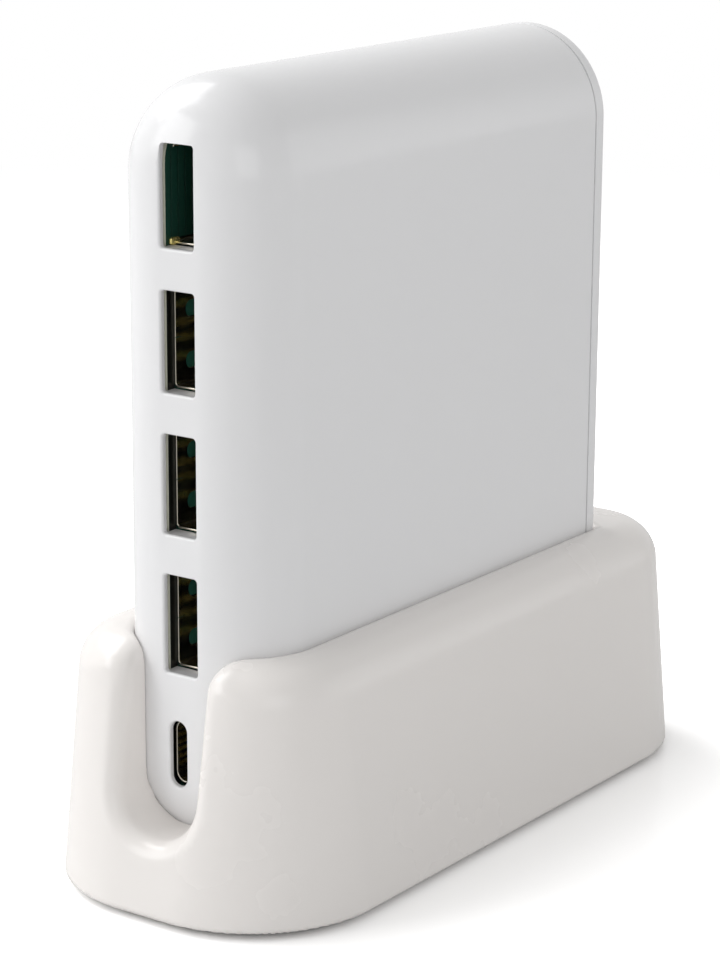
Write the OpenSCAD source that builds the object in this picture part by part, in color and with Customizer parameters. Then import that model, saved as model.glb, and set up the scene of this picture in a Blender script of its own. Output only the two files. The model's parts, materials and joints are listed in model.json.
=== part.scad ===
// Slim five-socket desk charger standing on edge in its moulded stand.
// Origin: middle of the footprint, on the surface that the feet stand on.
// X runs across the thickness, the sockets face -Y, and Z is up.

/* [Case] */
// Thickness of the case
case_w = 26; // [25:0.5:32]
// Depth of the case from the socket face to the rear
case_d = 83.4; // [80:0.5:95]
// Height of the case
case_h = 104.2; // [102:0.5:125]
// Side wall of the case
case_wall = 2.2; // [1.6:0.1:2.4]
// Wall of the socket face
front_wall = 0.8; // [0.7:0.05:1.2]
// Radius of the rounding round the socket face
front_edge_r = 10; // [7:0.5:10]
// Radius of the rear edge
rear_edge_r = 1.2; // [0.6:0.1:2]
// Distance from the rear to the seam of the rear cover
seam_from_rear = 3; // [2.6:0.1:5]
// Width of the seam
seam_gap = 0.3; // [0.2:0.05:0.5]
// Length of the rear cover's skirt inside the case
skirt_len = 6; // [4:0.5:9]
// Thickness of that skirt
skirt_wall = 1.4; // [1:0.1:1.8]
// Clearance between the skirt and the case
skirt_fit = 0.15; // [0.1:0.05:0.3]
// Length of a snap catch on the skirt
catch_len = 10; // [6:0.5:14]
// Height of a snap catch above the skirt
catch_proud = 0.6; // [0.4:0.05:0.8]

/* [USB-A sockets] */
// Number of USB-A sockets
port_count = 4; // [4]
// Drop from the top of the case to the middle of the first socket
port_drop = 14.9; // [14.5:0.1:16]
// Distance from one socket to the next
port_pitch = 18.85; // [18:0.05:19.5]
// Width of the slot in the socket face
slot_w = 5.4; // [5.2:0.1:5.8]
// Height of the slot in the socket face
slot_h = 13.4; // [13:0.1:14]
// Corner radius of the slot
slot_corner_r = 0.5; // [0.3:0.1:1]
// Clearance of a socket in its seat behind the socket face
socket_fit = 0.2; // [0.1:0.05:0.3]
// Thickness of the socket's sheet metal
sheet_t = 0.3; // [0.2:0.05:0.35]
// Opening of the metal shell across the slot
shell_gap_w = 5.12; // [5.0:0.02:5.2]
// Opening of the metal shell along the slot
shell_gap_h = 12.5; // [12.3:0.1:12.7]
// Length of the metal shell
shell_len = 14; // [12:0.5:16]
// Setback of the sockets behind the wall of the socket face
setback = 2.1; // [1.2:0.1:2.4]
// Thickness of the plastic tongue
tongue_t = 1.84; // [1.6:0.02:2]
// Width of the plastic tongue
tongue_w = 11.1; // [10.6:0.1:11.5]
// Setback of the tongue's tip behind the shell's mouth
tongue_back = 2; // [1:0.1:3]
// Distance between the two spring windows
window_pitch = 6.8; // [6:0.1:7.5]
// Width of a spring window
window_w = 2.1; // [1.6:0.1:2.4]
// Length of the open side of the top socket's shell
open_side_len = 9; // [7:0.5:10]

/* [USB-C socket] */
// Drop from the last USB-A socket to the USB-C socket
c_drop = 17.85; // [17:0.05:19]
// Shift of the socket towards the board
c_shift = 0.6; // [0:0.1:0.8]
// Setback of the socket behind the wall of the socket face
c_setback = 0.7; // [0.5:0.1:1]
// Width of the slot
c_slot_w = 2.8; // [2.7:0.1:3.1]
// Height of the slot
c_slot_h = 9.1; // [9:0.1:9.5]
// Opening of the shell across the slot
c_gap_w = 2.56; // [2.5:0.02:2.62]
// Opening of the shell along the slot
c_gap_h = 8.34; // [8.3:0.02:8.4]
// Length of the shell
c_len = 7.4; // [7:0.1:9]

/* [Mains inlet] */
// Height of the inlet's middle above the bottom of the case
inlet_z = 52; // [48:0.5:60]
// Width of the inlet's moulding
inlet_w = 12; // [11.4:0.1:13]
// Height of the inlet's moulding
inlet_h = 21.4; // [20:0.1:23]
// Depth of the inlet's moulding
inlet_d = 15; // [14:0.5:17]
// Depth of the recess that takes the plug
recess_d = 12; // [11:0.5:13]
// Radius of each round end of the recess
recess_r = 4.1; // [4:0.05:4.3]
// Distance between the two pins
pin_pitch = 8.6; // [8.4:0.1:8.8]
// Diameter of a pin
pin_d = 2.4; // [2.2:0.05:2.5]
// Length of the pins inside the recess
pin_len = 9.5; // [8:0.5:10]
// Gap between the inlet and the rectifier
inlet_clear = 2.5; // [2:0.1:4]

/* [Circuit board] */
// Thickness of the board
board_t = 1.6; // [1:0.1:1.8]
// Gap between the socket face's wall and the board
board_front_gap = 0.7; // [0.5:0.1:1.2]
// Distance from the board's edges to the top and bottom of the case
board_margin = 5; // [4:0.5:8]
// Corner radius of the board
board_corner_r = 6; // [4:0.5:8]
// Thickness of a guide rail for the board
rail_t = 1.2; // [1:0.1:1.6]
// Clearance of the board in its rails
rail_fit = 0.1; // [0.05:0.05:0.2]
// Distance of the rails from the socket face and from the seam
rail_margin = 10; // [8:0.5:14]

/* [Stand] */
// Height of the stand's moulding
stand_h = 34.9; // [32:0.1:45]
// Width at the lower edge
base_w = 47; // [46:0.5:60]
// Length at the lower edge
base_d = 111.2; // [110:0.5:130]
// Corner radius at the lower edge
base_corner_r = 19.3; // [15:0.1:20]
// Width at the rim
rim_w = 40.6; // [39:0.1:44]
// Length at the rim
rim_d = 99.8; // [99:0.1:108]
// Corner radius at the rim
rim_corner_r = 11.5; // [8:0.1:13]
// Radius of the rounded rim
rim_r = 5.4; // [4:0.1:6]
// Wall of the stand's outer skin
stand_wall = 2.4; // [2:0.1:3]
// Wall round the pocket that holds the case
pocket_wall = 2; // [1.6:0.1:2.4]
// Clearance of the case in its pocket
pocket_fit = 0.2; // [0.15:0.05:0.4]
// Distance from the stand's front edge to the socket face
front_margin = 9; // [8:0.1:10]
// Height of the case's bottom above the stand's lower edge
seat_h = 5; // [4.8:0.1:7]
// Half width of the notch at the USB-C socket
notch_half = 6.4; // [6:0.1:8.5]
// Height of the notch's bottom above the stand's lower edge
notch_floor = 9.8; // [9:0.1:12]
// Rounding of the notch's outer edge
notch_lip_r = 1.8; // [1.5:0.1:3]
// Rounding where the notch meets the rim
notch_mouth_r = 3.4; // [3:0.1:6]
// Thickness of the ribs between the outer skin and the pocket
rib_t = 1.6; // [1.2:0.1:2]

/* [Base plate] */
// Thickness of the base plate
plate_t = 2; // [1.6:0.1:2.4]
// Clearance round the base plate
plate_fit = 0.15; // [0.1:0.05:0.3]
// Depth of the base plate inside the stand's lower edge
plate_recess = 0.4; // [0.2:0.1:0.6]
// Diameter of a foot
foot_d = 9; // [8:0.5:11]
// Thickness of a foot
foot_t = 1.8; // [1.6:0.1:2]
// Height of the stand's lower edge above the surface
foot_proud = 0.8; // [0.6:0.1:1]
// Diameter of a screw's shank
screw_d = 2.5; // [2:0.1:3]
// Length of a screw's shank
screw_len = 8; // [6:0.5:9]
// Diameter of a screw's head
screw_head_d = 4.6; // [4:0.1:5]
// Height of a screw's head
screw_head_h = 1.2; // [1:0.1:1.4]
// Diameter of a screw boss
boss_d = 5.6; // [5:0.1:6.4]
// Distance of the front feet from the stand's lower edge at each side
foot_in = 11.5; // [10:0.1:14]

/* [Parts on the board] */
// Room between the parts on the board and the case
part_gap = 0.4; // [0.3:0.1:0.8]
// Size of the transformer's core along the case's depth
core_d = 24; // [20:0.5:25]
// Size of the transformer's core along the case's height
core_h = 26; // [22:0.5:28]
// Thickness of the transformer's core
core_t = 8; // [7:0.5:9]
// Width of the core's outer legs
core_leg = 4; // [3.5:0.1:4.5]
// Diameter of a storage capacitor
bulk_d = 12.5; // [10:0.5:12.5]
// Length of a storage capacitor
bulk_len = 25; // [20:0.5:26]
// Diameter of an output capacitor
out_cap_d = 8; // [6:0.5:8.5]
// Outer diameter of the choke's ring
choke_d = 15; // [12:0.5:16]
// Side of a port coil
coil_side = 6.6; // [5:0.2:7]
// Height of the heat sink
sink_h = 30; // [24:1:34]
// Size of the filter capacitor along the case's height
filter_h = 13; // [10:0.5:15]
// Diameter of the fuse
fuse_d = 8.4; // [7:0.2:8.6]

/* [Hidden] */
$fn = 48;
eps = 0.01;
cut = 1;

case_colour = [0.93, 0.93, 0.93];
stand_colour = [0.92, 0.9, 0.88];
board_colour = [0.07, 0.33, 0.22];
metal_colour = [0.75, 0.73, 0.68];
gold_colour = [0.85, 0.68, 0.3];
black_colour = [0.06, 0.06, 0.06];
ferrite_colour = [0.2, 0.2, 0.21];

half_w = case_w / 2;
cavity_half = half_w - case_wall;
skirt_half = cavity_half - skirt_fit;
spine = case_h - case_w;
tub_d = case_d - seam_from_rear;
case_y = front_margin - base_d / 2;
case_z = foot_proud + seat_h;

c_port_z = case_h - port_drop - (port_count - 1) * port_pitch - c_drop;
shell_w = shell_gap_w + 2 * sheet_t;
shell_h = shell_gap_h + 2 * sheet_t;
shell_corner_r = 0.7;
tongue_side_gap = 0.35;
window_front = 2.2;
window_len = 5;
contact_t = 0.2;
contact_w = 1;
contact_places = [-3.5, -1, 1, 3.5];

// The board lies against the flat side of the sockets.
board_x1 = -shell_w / 2;
board_x0 = board_x1 - board_t;
board_y0 = front_wall + board_front_gap;
board_y1 = tub_d - skirt_len - 0.6;
board_z0 = board_margin;
board_z1 = case_h - board_margin;
part_room = cavity_half - part_gap - board_x1;

inlet_back = case_d - 0.3;
inlet_flange_t = 1.2;
inlet_flange = 1.4;
inlet_corner_r = 1.2;
inlet_fit = 0.1;
recess_half = pin_pitch / 2 - 0.1;
tail_d = 1.4;
tail_setback = 1.8;
pin_fit = 0.03;
board_notch_y = inlet_back - inlet_d - 0.6;

stand_cavity_top = stand_h - stand_wall;
screw_places = [
  [base_w / 2 - stand_wall - boss_d / 2, base_corner_r + 4.7 - base_d / 2],
  [base_w / 2 - stand_wall - boss_d * 2, base_d / 2 - stand_wall - boss_d - 0.6]
];
screw_hole_d = screw_d + 0.1;
boss_top = foot_proud + plate_recess + plate_t + screw_len + 1.4;
foot_places = [
  [base_w / 2 - foot_in, foot_in + 4.1 - base_d / 2],
  [base_w / 2 - foot_in + 1, base_d / 2 - foot_in - 8.1]
];
plate_z = foot_proud + plate_recess;
foot_fit = 0.1;
corner_steps = 10;
rim_steps = 6;
lip_steps = 5;

// Places children in the case, whose own origin is at its front and bottom.
module in_case() {
  translate([0, case_y, case_z]) children();
}

// Height of a USB-A socket's middle in the case, counted from the top.
function port_z(n) = case_h - port_drop - (n - 1) * port_pitch;

// Depth of the USB-A sockets' mouths.
port_y = front_wall + setback;

// Rectangle with round corners, about the origin.
module rounded_rect(w, h, r) {
  square([w - 2 * r, h], center = true);
  square([w, h - 2 * r], center = true);
  for (sx = [-1, 1], sy = [-1, 1])
    translate([sx * (w / 2 - r), sy * (h / 2 - r)]) circle(r = r);
}

// Turns a drawing in X and Z into a solid that runs along Y from y0 to y1.
module along_y(y0, y1) {
  translate([0, y1, 0]) rotate([90, 0, 0]) linear_extrude(height = y1 - y0) children();
}

// Turns a drawing in Y and Z into a solid that runs along X from x0 to x1.
module along_x(x0, x1) {
  translate([x0, 0, 0]) rotate([90, 0, 90]) linear_extrude(height = x1 - x0) children();
}

// Level section of the case form: front corners of front_r, rear corners of rear_r.
module pill_section(hw, y0, y1, front_r, rear_r) {
  translate([-hw, y0 + front_r]) square([2 * hw, y1 - y0 - front_r - rear_r]);
  if (front_r > 0) {
    translate([-(hw - front_r), y0]) square([2 * (hw - front_r), front_r]);
    for (s = [-1, 1])
      translate([s * (hw - front_r), y0 + front_r]) circle(r = front_r);
  }
  if (rear_r > 0) {
    translate([-(hw - rear_r), y1 - rear_r]) square([2 * (hw - rear_r), rear_r]);
    for (s = [-1, 1])
      translate([s * (hw - rear_r), y1 - rear_r]) circle(r = rear_r);
  }
}

// Half-round end of the case form, below its axis.
module pill_end(hw, y0, y1, front_r, rear_r) {
  rotate([-90, 0, 0]) rotate_extrude(angle = 180) intersection() {
    pill_section(hw, y0, y1, front_r, rear_r);
    translate([0, y0]) square([hw, y1 - y0]);
  }
}

// The case form: flat sides between two half-round ends, with a softly rounded face.
module pill(hw, y0, y1, front_r = 0, rear_r = 0) {
  translate([0, 0, half_w]) {
    linear_extrude(height = spine) pill_section(hw, y0, y1, front_r, rear_r);
    pill_end(hw, y0, y1, front_r, rear_r);
    translate([0, 0, spine]) mirror([0, 0, 1]) pill_end(hw, y0, y1, front_r, rear_r);
  }
}

// Two rails at each end of the case that hold the edges of the board.
module board_rails() {
  reach = 2;
  root = half_w - sqrt(pow(half_w - 1, 2) - pow(board_x0 - rail_fit - rail_t, 2));
  rail_y = shell_len + rail_margin / 2;
  len = tub_d - rail_y - rail_margin;
  for (x = [board_x0 - rail_fit - rail_t, board_x1 + rail_fit]) {
    translate([x, rail_y, root]) cube([rail_t, len, board_z0 + reach - root]);
    translate([x, rail_y, board_z1 - reach])
      cube([rail_t, len, case_h - root - board_z1 + reach]);
  }
}

// Wedge-shaped snap catches on both flat sides, or the pockets that they click into.
module catches(fit) {
  proud = catch_proud + fit;
  flat = skirt_half - skirt_wall / 2;
  reach = skirt_wall / 2 + proud;
  for (s = [-1, 1], t = [-1, 1])
    translate([0, 0, case_h / 2 + t * case_h / 4 - catch_len / 2 - fit])
      linear_extrude(height = catch_len + 2 * fit) scale([s, 1])
        polygon([[flat, tub_d - skirt_len + 0.3 - fit], [flat + reach, tub_d - skirt_len + 2.1 - fit],
                 [flat + reach, tub_d - skirt_len + 3.1 + fit], [flat, tub_d - skirt_len + 3.1 + fit]]);
}

module case_body() {
  color(case_colour) in_case() {
    difference() {
      pill(half_w, 0, tub_d, front_edge_r);
      pill(cavity_half, front_wall, tub_d + cut, front_edge_r - case_wall);
      catches(skirt_fit);
      for (n = [1:port_count]) translate([0, 0, port_z(n)]) {
        along_y(-cut, front_wall + cut) rounded_rect(slot_w, slot_h, slot_corner_r);
        along_y(front_wall, port_y + shell_len)
          rounded_rect(shell_w + 2 * socket_fit, shell_h + 2 * socket_fit,
                       shell_corner_r + socket_fit);
      }
      translate([-c_shift, 0, c_port_z]) along_y(-cut, front_wall + cut)
        rounded_rect(c_slot_w, c_slot_h, c_slot_w / 2 - eps);
    }
    board_rails();
  }
}

module rear_cover() {
  color(case_colour) in_case() difference() {
    union() {
      pill(half_w, tub_d + seam_gap, case_d, 0, rear_edge_r);
      pill(skirt_half, tub_d - skirt_len, tub_d + seam_gap + rear_edge_r / 2);
      catches(0);
    }
    pill(skirt_half - skirt_wall, tub_d - skirt_len - cut, tub_d + seam_gap);
    translate([0, 0, inlet_z]) along_y(tub_d, case_d + cut)
      rounded_rect(inlet_w + 2 * inlet_fit, inlet_h + 2 * inlet_fit, inlet_corner_r + inlet_fit);
  }
}

// Figure of eight that the plug goes into.
module recess_outline() {
  for (s = [-1, 1]) translate([0, s * recess_half]) circle(r = recess_r);
  square([2 * recess_r - 1.6, 2 * recess_half], center = true);
}

module inlet_moulding() {
  flange_y1 = tub_d + seam_gap;
  color(black_colour) in_case() translate([0, 0, inlet_z]) difference() {
    union() {
      along_y(inlet_back - inlet_d, inlet_back) rounded_rect(inlet_w, inlet_h, inlet_corner_r);
      along_y(flange_y1 - inlet_flange_t, flange_y1)
        rounded_rect(inlet_w + 2 * inlet_flange, inlet_h + 2 * inlet_flange, inlet_corner_r);
    }
    along_y(inlet_back - recess_d, inlet_back + cut) recess_outline();
    for (s = [-1, 1])
      translate([0, 0, s * pin_pitch / 2])
        along_y(inlet_back - inlet_d - cut, inlet_back) circle(d = pin_d + 2 * pin_fit);
  }
}

module inlet_pins() {
  tail_y = inlet_back - inlet_d - tail_setback;
  color(metal_colour) in_case() translate([0, 0, inlet_z])
    for (s = [-1, 1]) translate([0, 0, s * pin_pitch / 2]) {
      along_y(tail_y - tail_d / 2, inlet_back - recess_d + pin_len) circle(d = pin_d);
      along_x(board_x0 - 1, 0) translate([tail_y, 0]) circle(d = tail_d);
    }
}

module main_board() {
  hole_y = inlet_back - inlet_d - tail_setback;
  color(board_colour) in_case() difference() {
    along_x(board_x0, board_x1)
      translate([(board_y0 + board_y1) / 2, (board_z0 + board_z1) / 2])
        rounded_rect(board_y1 - board_y0, board_z1 - board_z0, board_corner_r);
    translate([board_x0 - cut, board_notch_y, inlet_z - inlet_h / 2 - 2])
      cube([board_t + 2 * cut, board_y1 - board_notch_y + cut, inlet_h + 4]);
    for (s = [-1, 1])
      along_x(board_x0 - cut, board_x1 + cut)
        translate([hole_y, inlet_z + s * pin_pitch / 2]) circle(d = tail_d + 0.1);
  }
}

module insulating_sheet() {
  sheet = 0.4;
  color("ivory") in_case()
    translate([-cavity_half + 0.2, board_y0 + 8, half_w])
      cube([sheet, board_y1 - board_y0 - 10, spine]);
}

// Folded sheet-metal shell of a USB-A socket, with two spring windows and a butt seam.
// The top one is open towards the board.
module usb_a_shell(n) {
  seam = 0.12;
  seam_len = 1.2;
  color(metal_colour) in_case() translate([0, port_y, port_z(n)]) difference() {
    along_y(0, shell_len) rounded_rect(shell_w, shell_h, shell_corner_r);
    along_y(-cut, shell_len + cut)
      rounded_rect(shell_gap_w, shell_gap_h, shell_corner_r - sheet_t);
    if (n == 1) {
      translate([-shell_w / 2 - cut, -cut, -shell_h / 2 + shell_corner_r])
        cube([shell_w / 2, open_side_len + cut, shell_h - 2 * shell_corner_r]);
    } else {
      for (s = [-1, 1])
        along_x(-shell_w / 2 - cut, 0)
          translate([window_front + window_len / 2, s * window_pitch / 2])
            rounded_rect(window_len, window_w, window_w / 2 - eps);
      translate([-shell_w / 2 - cut, -cut, -seam / 2]) cube([2 * cut, seam_len + cut, seam]);
    }
  }
}

// Plastic insert of a USB-A socket, with its tongue on the side away from the board.
module usb_a_tongue(n) {
  base_len = 3;
  insert_fit = 0.02;
  color(black_colour) in_case() translate([0, port_y, port_z(n)]) difference() {
    union() {
      along_y(shell_len - base_len, shell_len)
        rounded_rect(shell_gap_w - insert_fit, shell_gap_h - insert_fit, shell_corner_r - sheet_t);
      translate([contact_face, tongue_back, -tongue_w / 2])
        cube([tongue_t, shell_len - base_len - tongue_back + eps, tongue_w]);
    }
    for (z = contact_places)
      translate([contact_face, contact_front, z - contact_w / 2])
        cube([contact_t, shell_len, contact_w]);
  }
}

// Inner face of the tongue, and where its contacts start.
contact_face = shell_gap_w / 2 - tongue_side_gap - tongue_t;
contact_front = tongue_back + 1;

// Four gilt contacts of a USB-A socket. The top socket has a gilt solder leg as well.
module usb_a_contacts(n) {
  leg_len = 1.4;
  leg_h = 0.9;
  leg_t = 0.45;
  color(gold_colour) in_case() translate([0, port_y, port_z(n)]) {
    for (z = contact_places)
      translate([contact_face, contact_front, z - contact_w / 2])
        cube([contact_t, shell_len - contact_front, contact_w]);
    if (n == 1)
      translate([board_x1 + leg_t / 2, 0, -shell_h / 2 + shell_corner_r + leg_h / 2 + 0.05])
        along_y(-setback / 2, leg_len) rounded_rect(leg_t - 2 * eps, leg_h, leg_t / 3);
  }
}

c_shell_w = c_gap_w + 2 * sheet_t;
c_shell_h = c_gap_h + 2 * sheet_t;
c_tongue_t = 0.7;
c_tongue_w = 6.69;
c_base_len = 1.6;
c_y = front_wall + c_setback;

module usb_c_shell() {
  color(metal_colour) in_case() translate([-c_shift, c_y, c_port_z]) difference() {
    along_y(0, c_len) rounded_rect(c_shell_w, c_shell_h, c_shell_w / 2 - eps);
    along_y(-cut, c_len + cut) rounded_rect(c_gap_w, c_gap_h, c_gap_w / 2 - eps);
  }
}

module usb_c_tongue() {
  insert_fit = 0.02;
  color(black_colour) in_case() translate([-c_shift, c_y, c_port_z]) {
    along_y(c_len - c_base_len, c_len)
      rounded_rect(c_gap_w - insert_fit, c_gap_h - insert_fit, (c_gap_w - insert_fit) / 2 - eps);
    translate([-c_tongue_t / 2, 1, -c_tongue_w / 2])
      cube([c_tongue_t, c_len - c_base_len - 1 + eps, c_tongue_w]);
  }
}

// Two rows of six contacts, one on each face of the tongue.
module usb_c_contacts() {
  row = 6;
  step = 1;
  strip_t = 0.08;
  color(gold_colour) in_case() translate([-c_shift, c_y, c_port_z])
    for (s = [-1, 1], i = [0:row - 1])
      translate([s * (c_tongue_t + strip_t) / 2 - strip_t / 2, 1.4,
                 (i - (row - 1) / 2) * step - 0.25])
        cube([strip_t, c_len - c_base_len - 1.4, 0.5]);
}

// Height of the parts' undersides above the board.
lift = 0.1;
rectifier_t = 3.4;
rectifier_h = 14;
rectifier_y = inlet_back - inlet_d - inlet_clear - rectifier_t / 2;
transformer_y = rectifier_y - rectifier_t - core_d / 2;
transformer_z = inlet_z;
winding_t = part_room - 0.6;
core_x = board_x1 + 0.3 + winding_t / 2;
core_post = 7;
core_end = 4;
window_h = (core_h - 2 * core_leg - core_post) / 2;
bobbin_wall = 0.8;

// Two E halves that meet round the winding.
module transformer_core() {
  color(ferrite_colour) in_case() translate([core_x, transformer_y, transformer_z])
    difference() {
      cube([core_t, core_d, core_h], center = true);
      for (s = [-1, 1])
        translate([0, 0, s * (core_post + window_h) / 2])
          cube([core_t + 2 * cut, core_d - 2 * core_end, window_h], center = true);
    }
}

// Square tube with a flange at each end, round the core's middle post.
module transformer_bobbin() {
  flange = 1;
  len = core_d - 2 * core_end - 0.2;
  tube_t = core_t + 0.2 + 2 * bobbin_wall;
  tube_h = core_post + 0.2 + 2 * bobbin_wall;
  color(black_colour) in_case() translate([core_x, transformer_y, transformer_z])
    difference() {
      union() {
        cube([tube_t, len, tube_h], center = true);
        for (s = [-1, 1])
          translate([0, s * (len - flange) / 2, 0])
            cube([winding_t, flange, core_post + 2 * window_h - 0.4], center = true);
      }
      cube([core_t + 0.2, len + 2 * cut, core_post + 0.2], center = true);
    }
}

module transformer_winding() {
  len = core_d - 2 * core_end - 2.6;
  tube_t = core_t + 0.4 + 2 * bobbin_wall;
  tube_h = core_post + 0.4 + 2 * bobbin_wall;
  color([0.93, 0.78, 0.2]) in_case()
    translate([core_x, transformer_y, transformer_z]) difference() {
      rotate([90, 0, 0]) linear_extrude(height = len, center = true)
        rounded_rect(winding_t - 0.4, core_post + 2 * window_h - 0.8, 2);
      cube([tube_t, len + 2 * cut, tube_h], center = true);
    }
}

// Storage capacitor lying along the case's height, with its rolled bead.
module storage_capacitor(n) {
  bead = 0.4;
  bead_from_end = 3;
  z_mid = transformer_z + (n == 1 ? -1 : 1) * (core_h / 2 + 2 + bulk_len / 2);
  color([0.12, 0.13, 0.2]) in_case()
    translate([board_x1 + bulk_d / 2 + lift, transformer_y, z_mid - bulk_len / 2])
      rotate_extrude() difference() {
        square([bulk_d / 2, bulk_len]);
        translate([bulk_d / 2 + bead, bead_from_end]) circle(r = 2 * bead);
      }
}

filter_y = rectifier_y + 2.2;

module filter_capacitor() {
  color([0.95, 0.78, 0.15]) in_case()
    translate([0, filter_y, transformer_z + inlet_h / 2 + filter_h])
      along_x(board_x1 + lift, board_x1 + part_room) rounded_rect(filter_h / 2 - 0.5, filter_h, 0.6);
}

choke_z = transformer_z - inlet_h / 2 - choke_d / 2 - 6.5;
choke_t = 5.6;
choke_wire = 0.8;
choke_ring = 3.4;
choke_x = board_x1 + choke_wire + 0.3 + choke_t / 2;

module choke_core() {
  color([0.25, 0.45, 0.3]) in_case() translate([choke_x, filter_y, choke_z])
    rotate([0, 90, 0]) difference() {
      cylinder(h = choke_t, d = choke_d, center = true);
      cylinder(h = choke_t + 2 * cut, d = choke_d - 2 * choke_ring, center = true);
    }
}

// Half of the choke's wire, wrapped round the ring over a third of its turn.
module choke_winding(n) {
  turn = 120;
  fit = 0.03;
  color([0.72, 0.35, 0.15]) in_case() translate([choke_x, filter_y, choke_z])
    rotate([0, 90, 0]) rotate([0, 0, (n == 1 ? 30 : 210)])
      rotate_extrude(angle = turn) difference() {
        translate([choke_d / 2 - choke_ring - choke_wire, -choke_t / 2 - choke_wire])
          square([choke_ring + 2 * choke_wire, choke_t + 2 * choke_wire]);
        translate([choke_d / 2 - choke_ring - fit, -choke_t / 2 - fit])
          square([choke_ring + 2 * fit, choke_t + 2 * fit]);
      }
}

module fuse() {
  color(black_colour) in_case()
    along_x(board_x1 + lift, board_x1 + 8)
      translate([filter_y, transformer_z + inlet_h / 2 + 1.5 * filter_h + 3.3 + fuse_d / 2])
        circle(d = fuse_d);
}

module bridge_rectifier() {
  color(black_colour) in_case()
    along_x(board_x1 + lift, board_x1 + 10.6)
      translate([rectifier_y, transformer_z]) rounded_rect(rectifier_t, rectifier_h, 0.4);
}

sink_y = transformer_y - core_d / 2 - 3;
sink_t = 1.5;
sink_z = transformer_z + sink_h / 2 + 1;

// Upright aluminium plate with three folded fingers.
module heat_sink() {
  finger = 5;
  split = 2;
  color([0.8, 0.81, 0.83]) in_case() difference() {
    union() {
      translate([board_x1 + lift, sink_y - sink_t / 2, sink_z - sink_h / 2])
        cube([part_room - 2 * lift, sink_t, sink_h]);
      translate([board_x1 + part_room - sink_t, sink_y - finger, sink_z - sink_h / 2])
        cube([sink_t, finger, sink_h]);
    }
    for (s = [-1, 1])
      translate([board_x1 + part_room - sink_t - cut, sink_y - finger - cut,
                 sink_z + s * sink_h / 6 - split / 2])
        cube([sink_t + 2 * cut, finger - sink_t / 2 + cut, split]);
  }
}

module switching_transistor() {
  body_h = 10;
  color(black_colour) in_case()
    translate([board_x1 + lift, sink_y + sink_t / 2, sink_z - body_h / 2])
      cube([9, 1.4, body_h]);
}

module output_capacitor(n) {
  z = n == 1 ? port_z(1) : port_z(4);
  color([0.15, 0.16, 0.22]) in_case()
    along_x(board_x1 + lift, board_x1 + part_room - 4 * lift)
      translate([port_y + shell_len + 3.8 + out_cap_d / 2, z]) circle(d = out_cap_d);
}

// Shielded coil beside each socket, on the far side of the board.
module port_coil(n) {
  z = n <= port_count ? port_z(n) : c_port_z;
  color([0.3, 0.3, 0.31]) in_case()
    along_x(board_x0 - 3, board_x0) translate([shell_len + 9, z])
      rounded_rect(coil_side, coil_side, 1.2);
}

// Small controller packages on the far side of the board.
module control_chips() {
  color(black_colour) in_case() {
    for (n = [1:port_count + 1])
      along_x(board_x0 - 1.2, board_x0)
        translate([shell_len + 1, n <= port_count ? port_z(n) : c_port_z]) rounded_rect(4, 5, 0.2);
    along_x(board_x0 - 1.6, board_x0)
      translate([transformer_y + 4, transformer_z - 20]) rounded_rect(4, 10, 0.2);
  }
}

function lerp(a, b, t) = a + (b - a) * t;

// One corner arc of an outline.
function corner_arc(cx, cy, r, from) =
  [for (i = [0:corner_steps]) let (a = from + 90 * i / corner_steps)
    [cx + r * cos(a), cy + r * sin(a)]];

// Closed outline with four round corners.
function outline(w, d, r) = let (x = w / 2 - r, y = d / 2 - r)
  concat(corner_arc(x, y, r, 0), corner_arc(-x, y, r, 90),
         corner_arc(-x, -y, r, 180), corner_arc(x, -y, r, 270));

// Width, length and corner radius of the stand at a height above its lower edge.
function stand_size(h, inset) = let (t = h / stand_h) [
  lerp(base_w, rim_w, t) - 2 * inset,
  lerp(base_d, rim_d, t) - 2 * inset,
  lerp(base_corner_r, rim_corner_r, t) - inset
];

// How far the rounded rim has turned in at a height.
function rim_inset(h) = let (up = min(1, max(0, (h - stand_h + rim_r) / rim_r)))
  rim_r * (1 - sqrt(1 - up * up));

// Closed solid skinned over rings of points that run the same way round.
module skin(rings) {
  n = len(rings[0]);
  m = len(rings);
  points = [for (ring = rings) each ring];
  start_face = [for (i = [0:n - 1]) i];
  end_face = [for (i = [0:n - 1]) (m - 1) * n + n - 1 - i];
  sides = [for (k = [0:m - 2], i = [0:n - 1]) let (
      a = k * n + i, b = k * n + (i + 1) % n, c = b + n, d = a + n)
    each [[a, d, c], [a, c, b]]];
  polyhedron(points, concat([start_face, end_face], sides));
}

// Solid through level outlines of the stand, each given as height and inset.
module stand_loft(levels) {
  translate([0, 0, foot_proud])
    skin([for (l = levels) let (s = stand_size(l[0], l[1]))
      [for (p = outline(s[0], s[1], s[2])) [p[0], p[1], l[0]]]]);
}

// Levels of the stand's outer skin, from its softened lower edge to its rim.
function outer_levels() = concat(
  [[0, 0.5], [0.5, 0]],
  [for (i = [0:rim_steps]) let (a = 90 * i / rim_steps)
    [stand_h - rim_r + rim_r * sin(a), rim_r * (1 - cos(a))]]
);

// Y of the stand's front skin at a place across and a height.
function front_y(x, h) = let (
    s = stand_size(min(h, stand_h), rim_inset(h)),
    over = max(0, abs(x) - (s[0] / 2 - s[2])))
  -s[1] / 2 + s[2] - sqrt(max(0, s[2] * s[2] - over * over));

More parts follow.
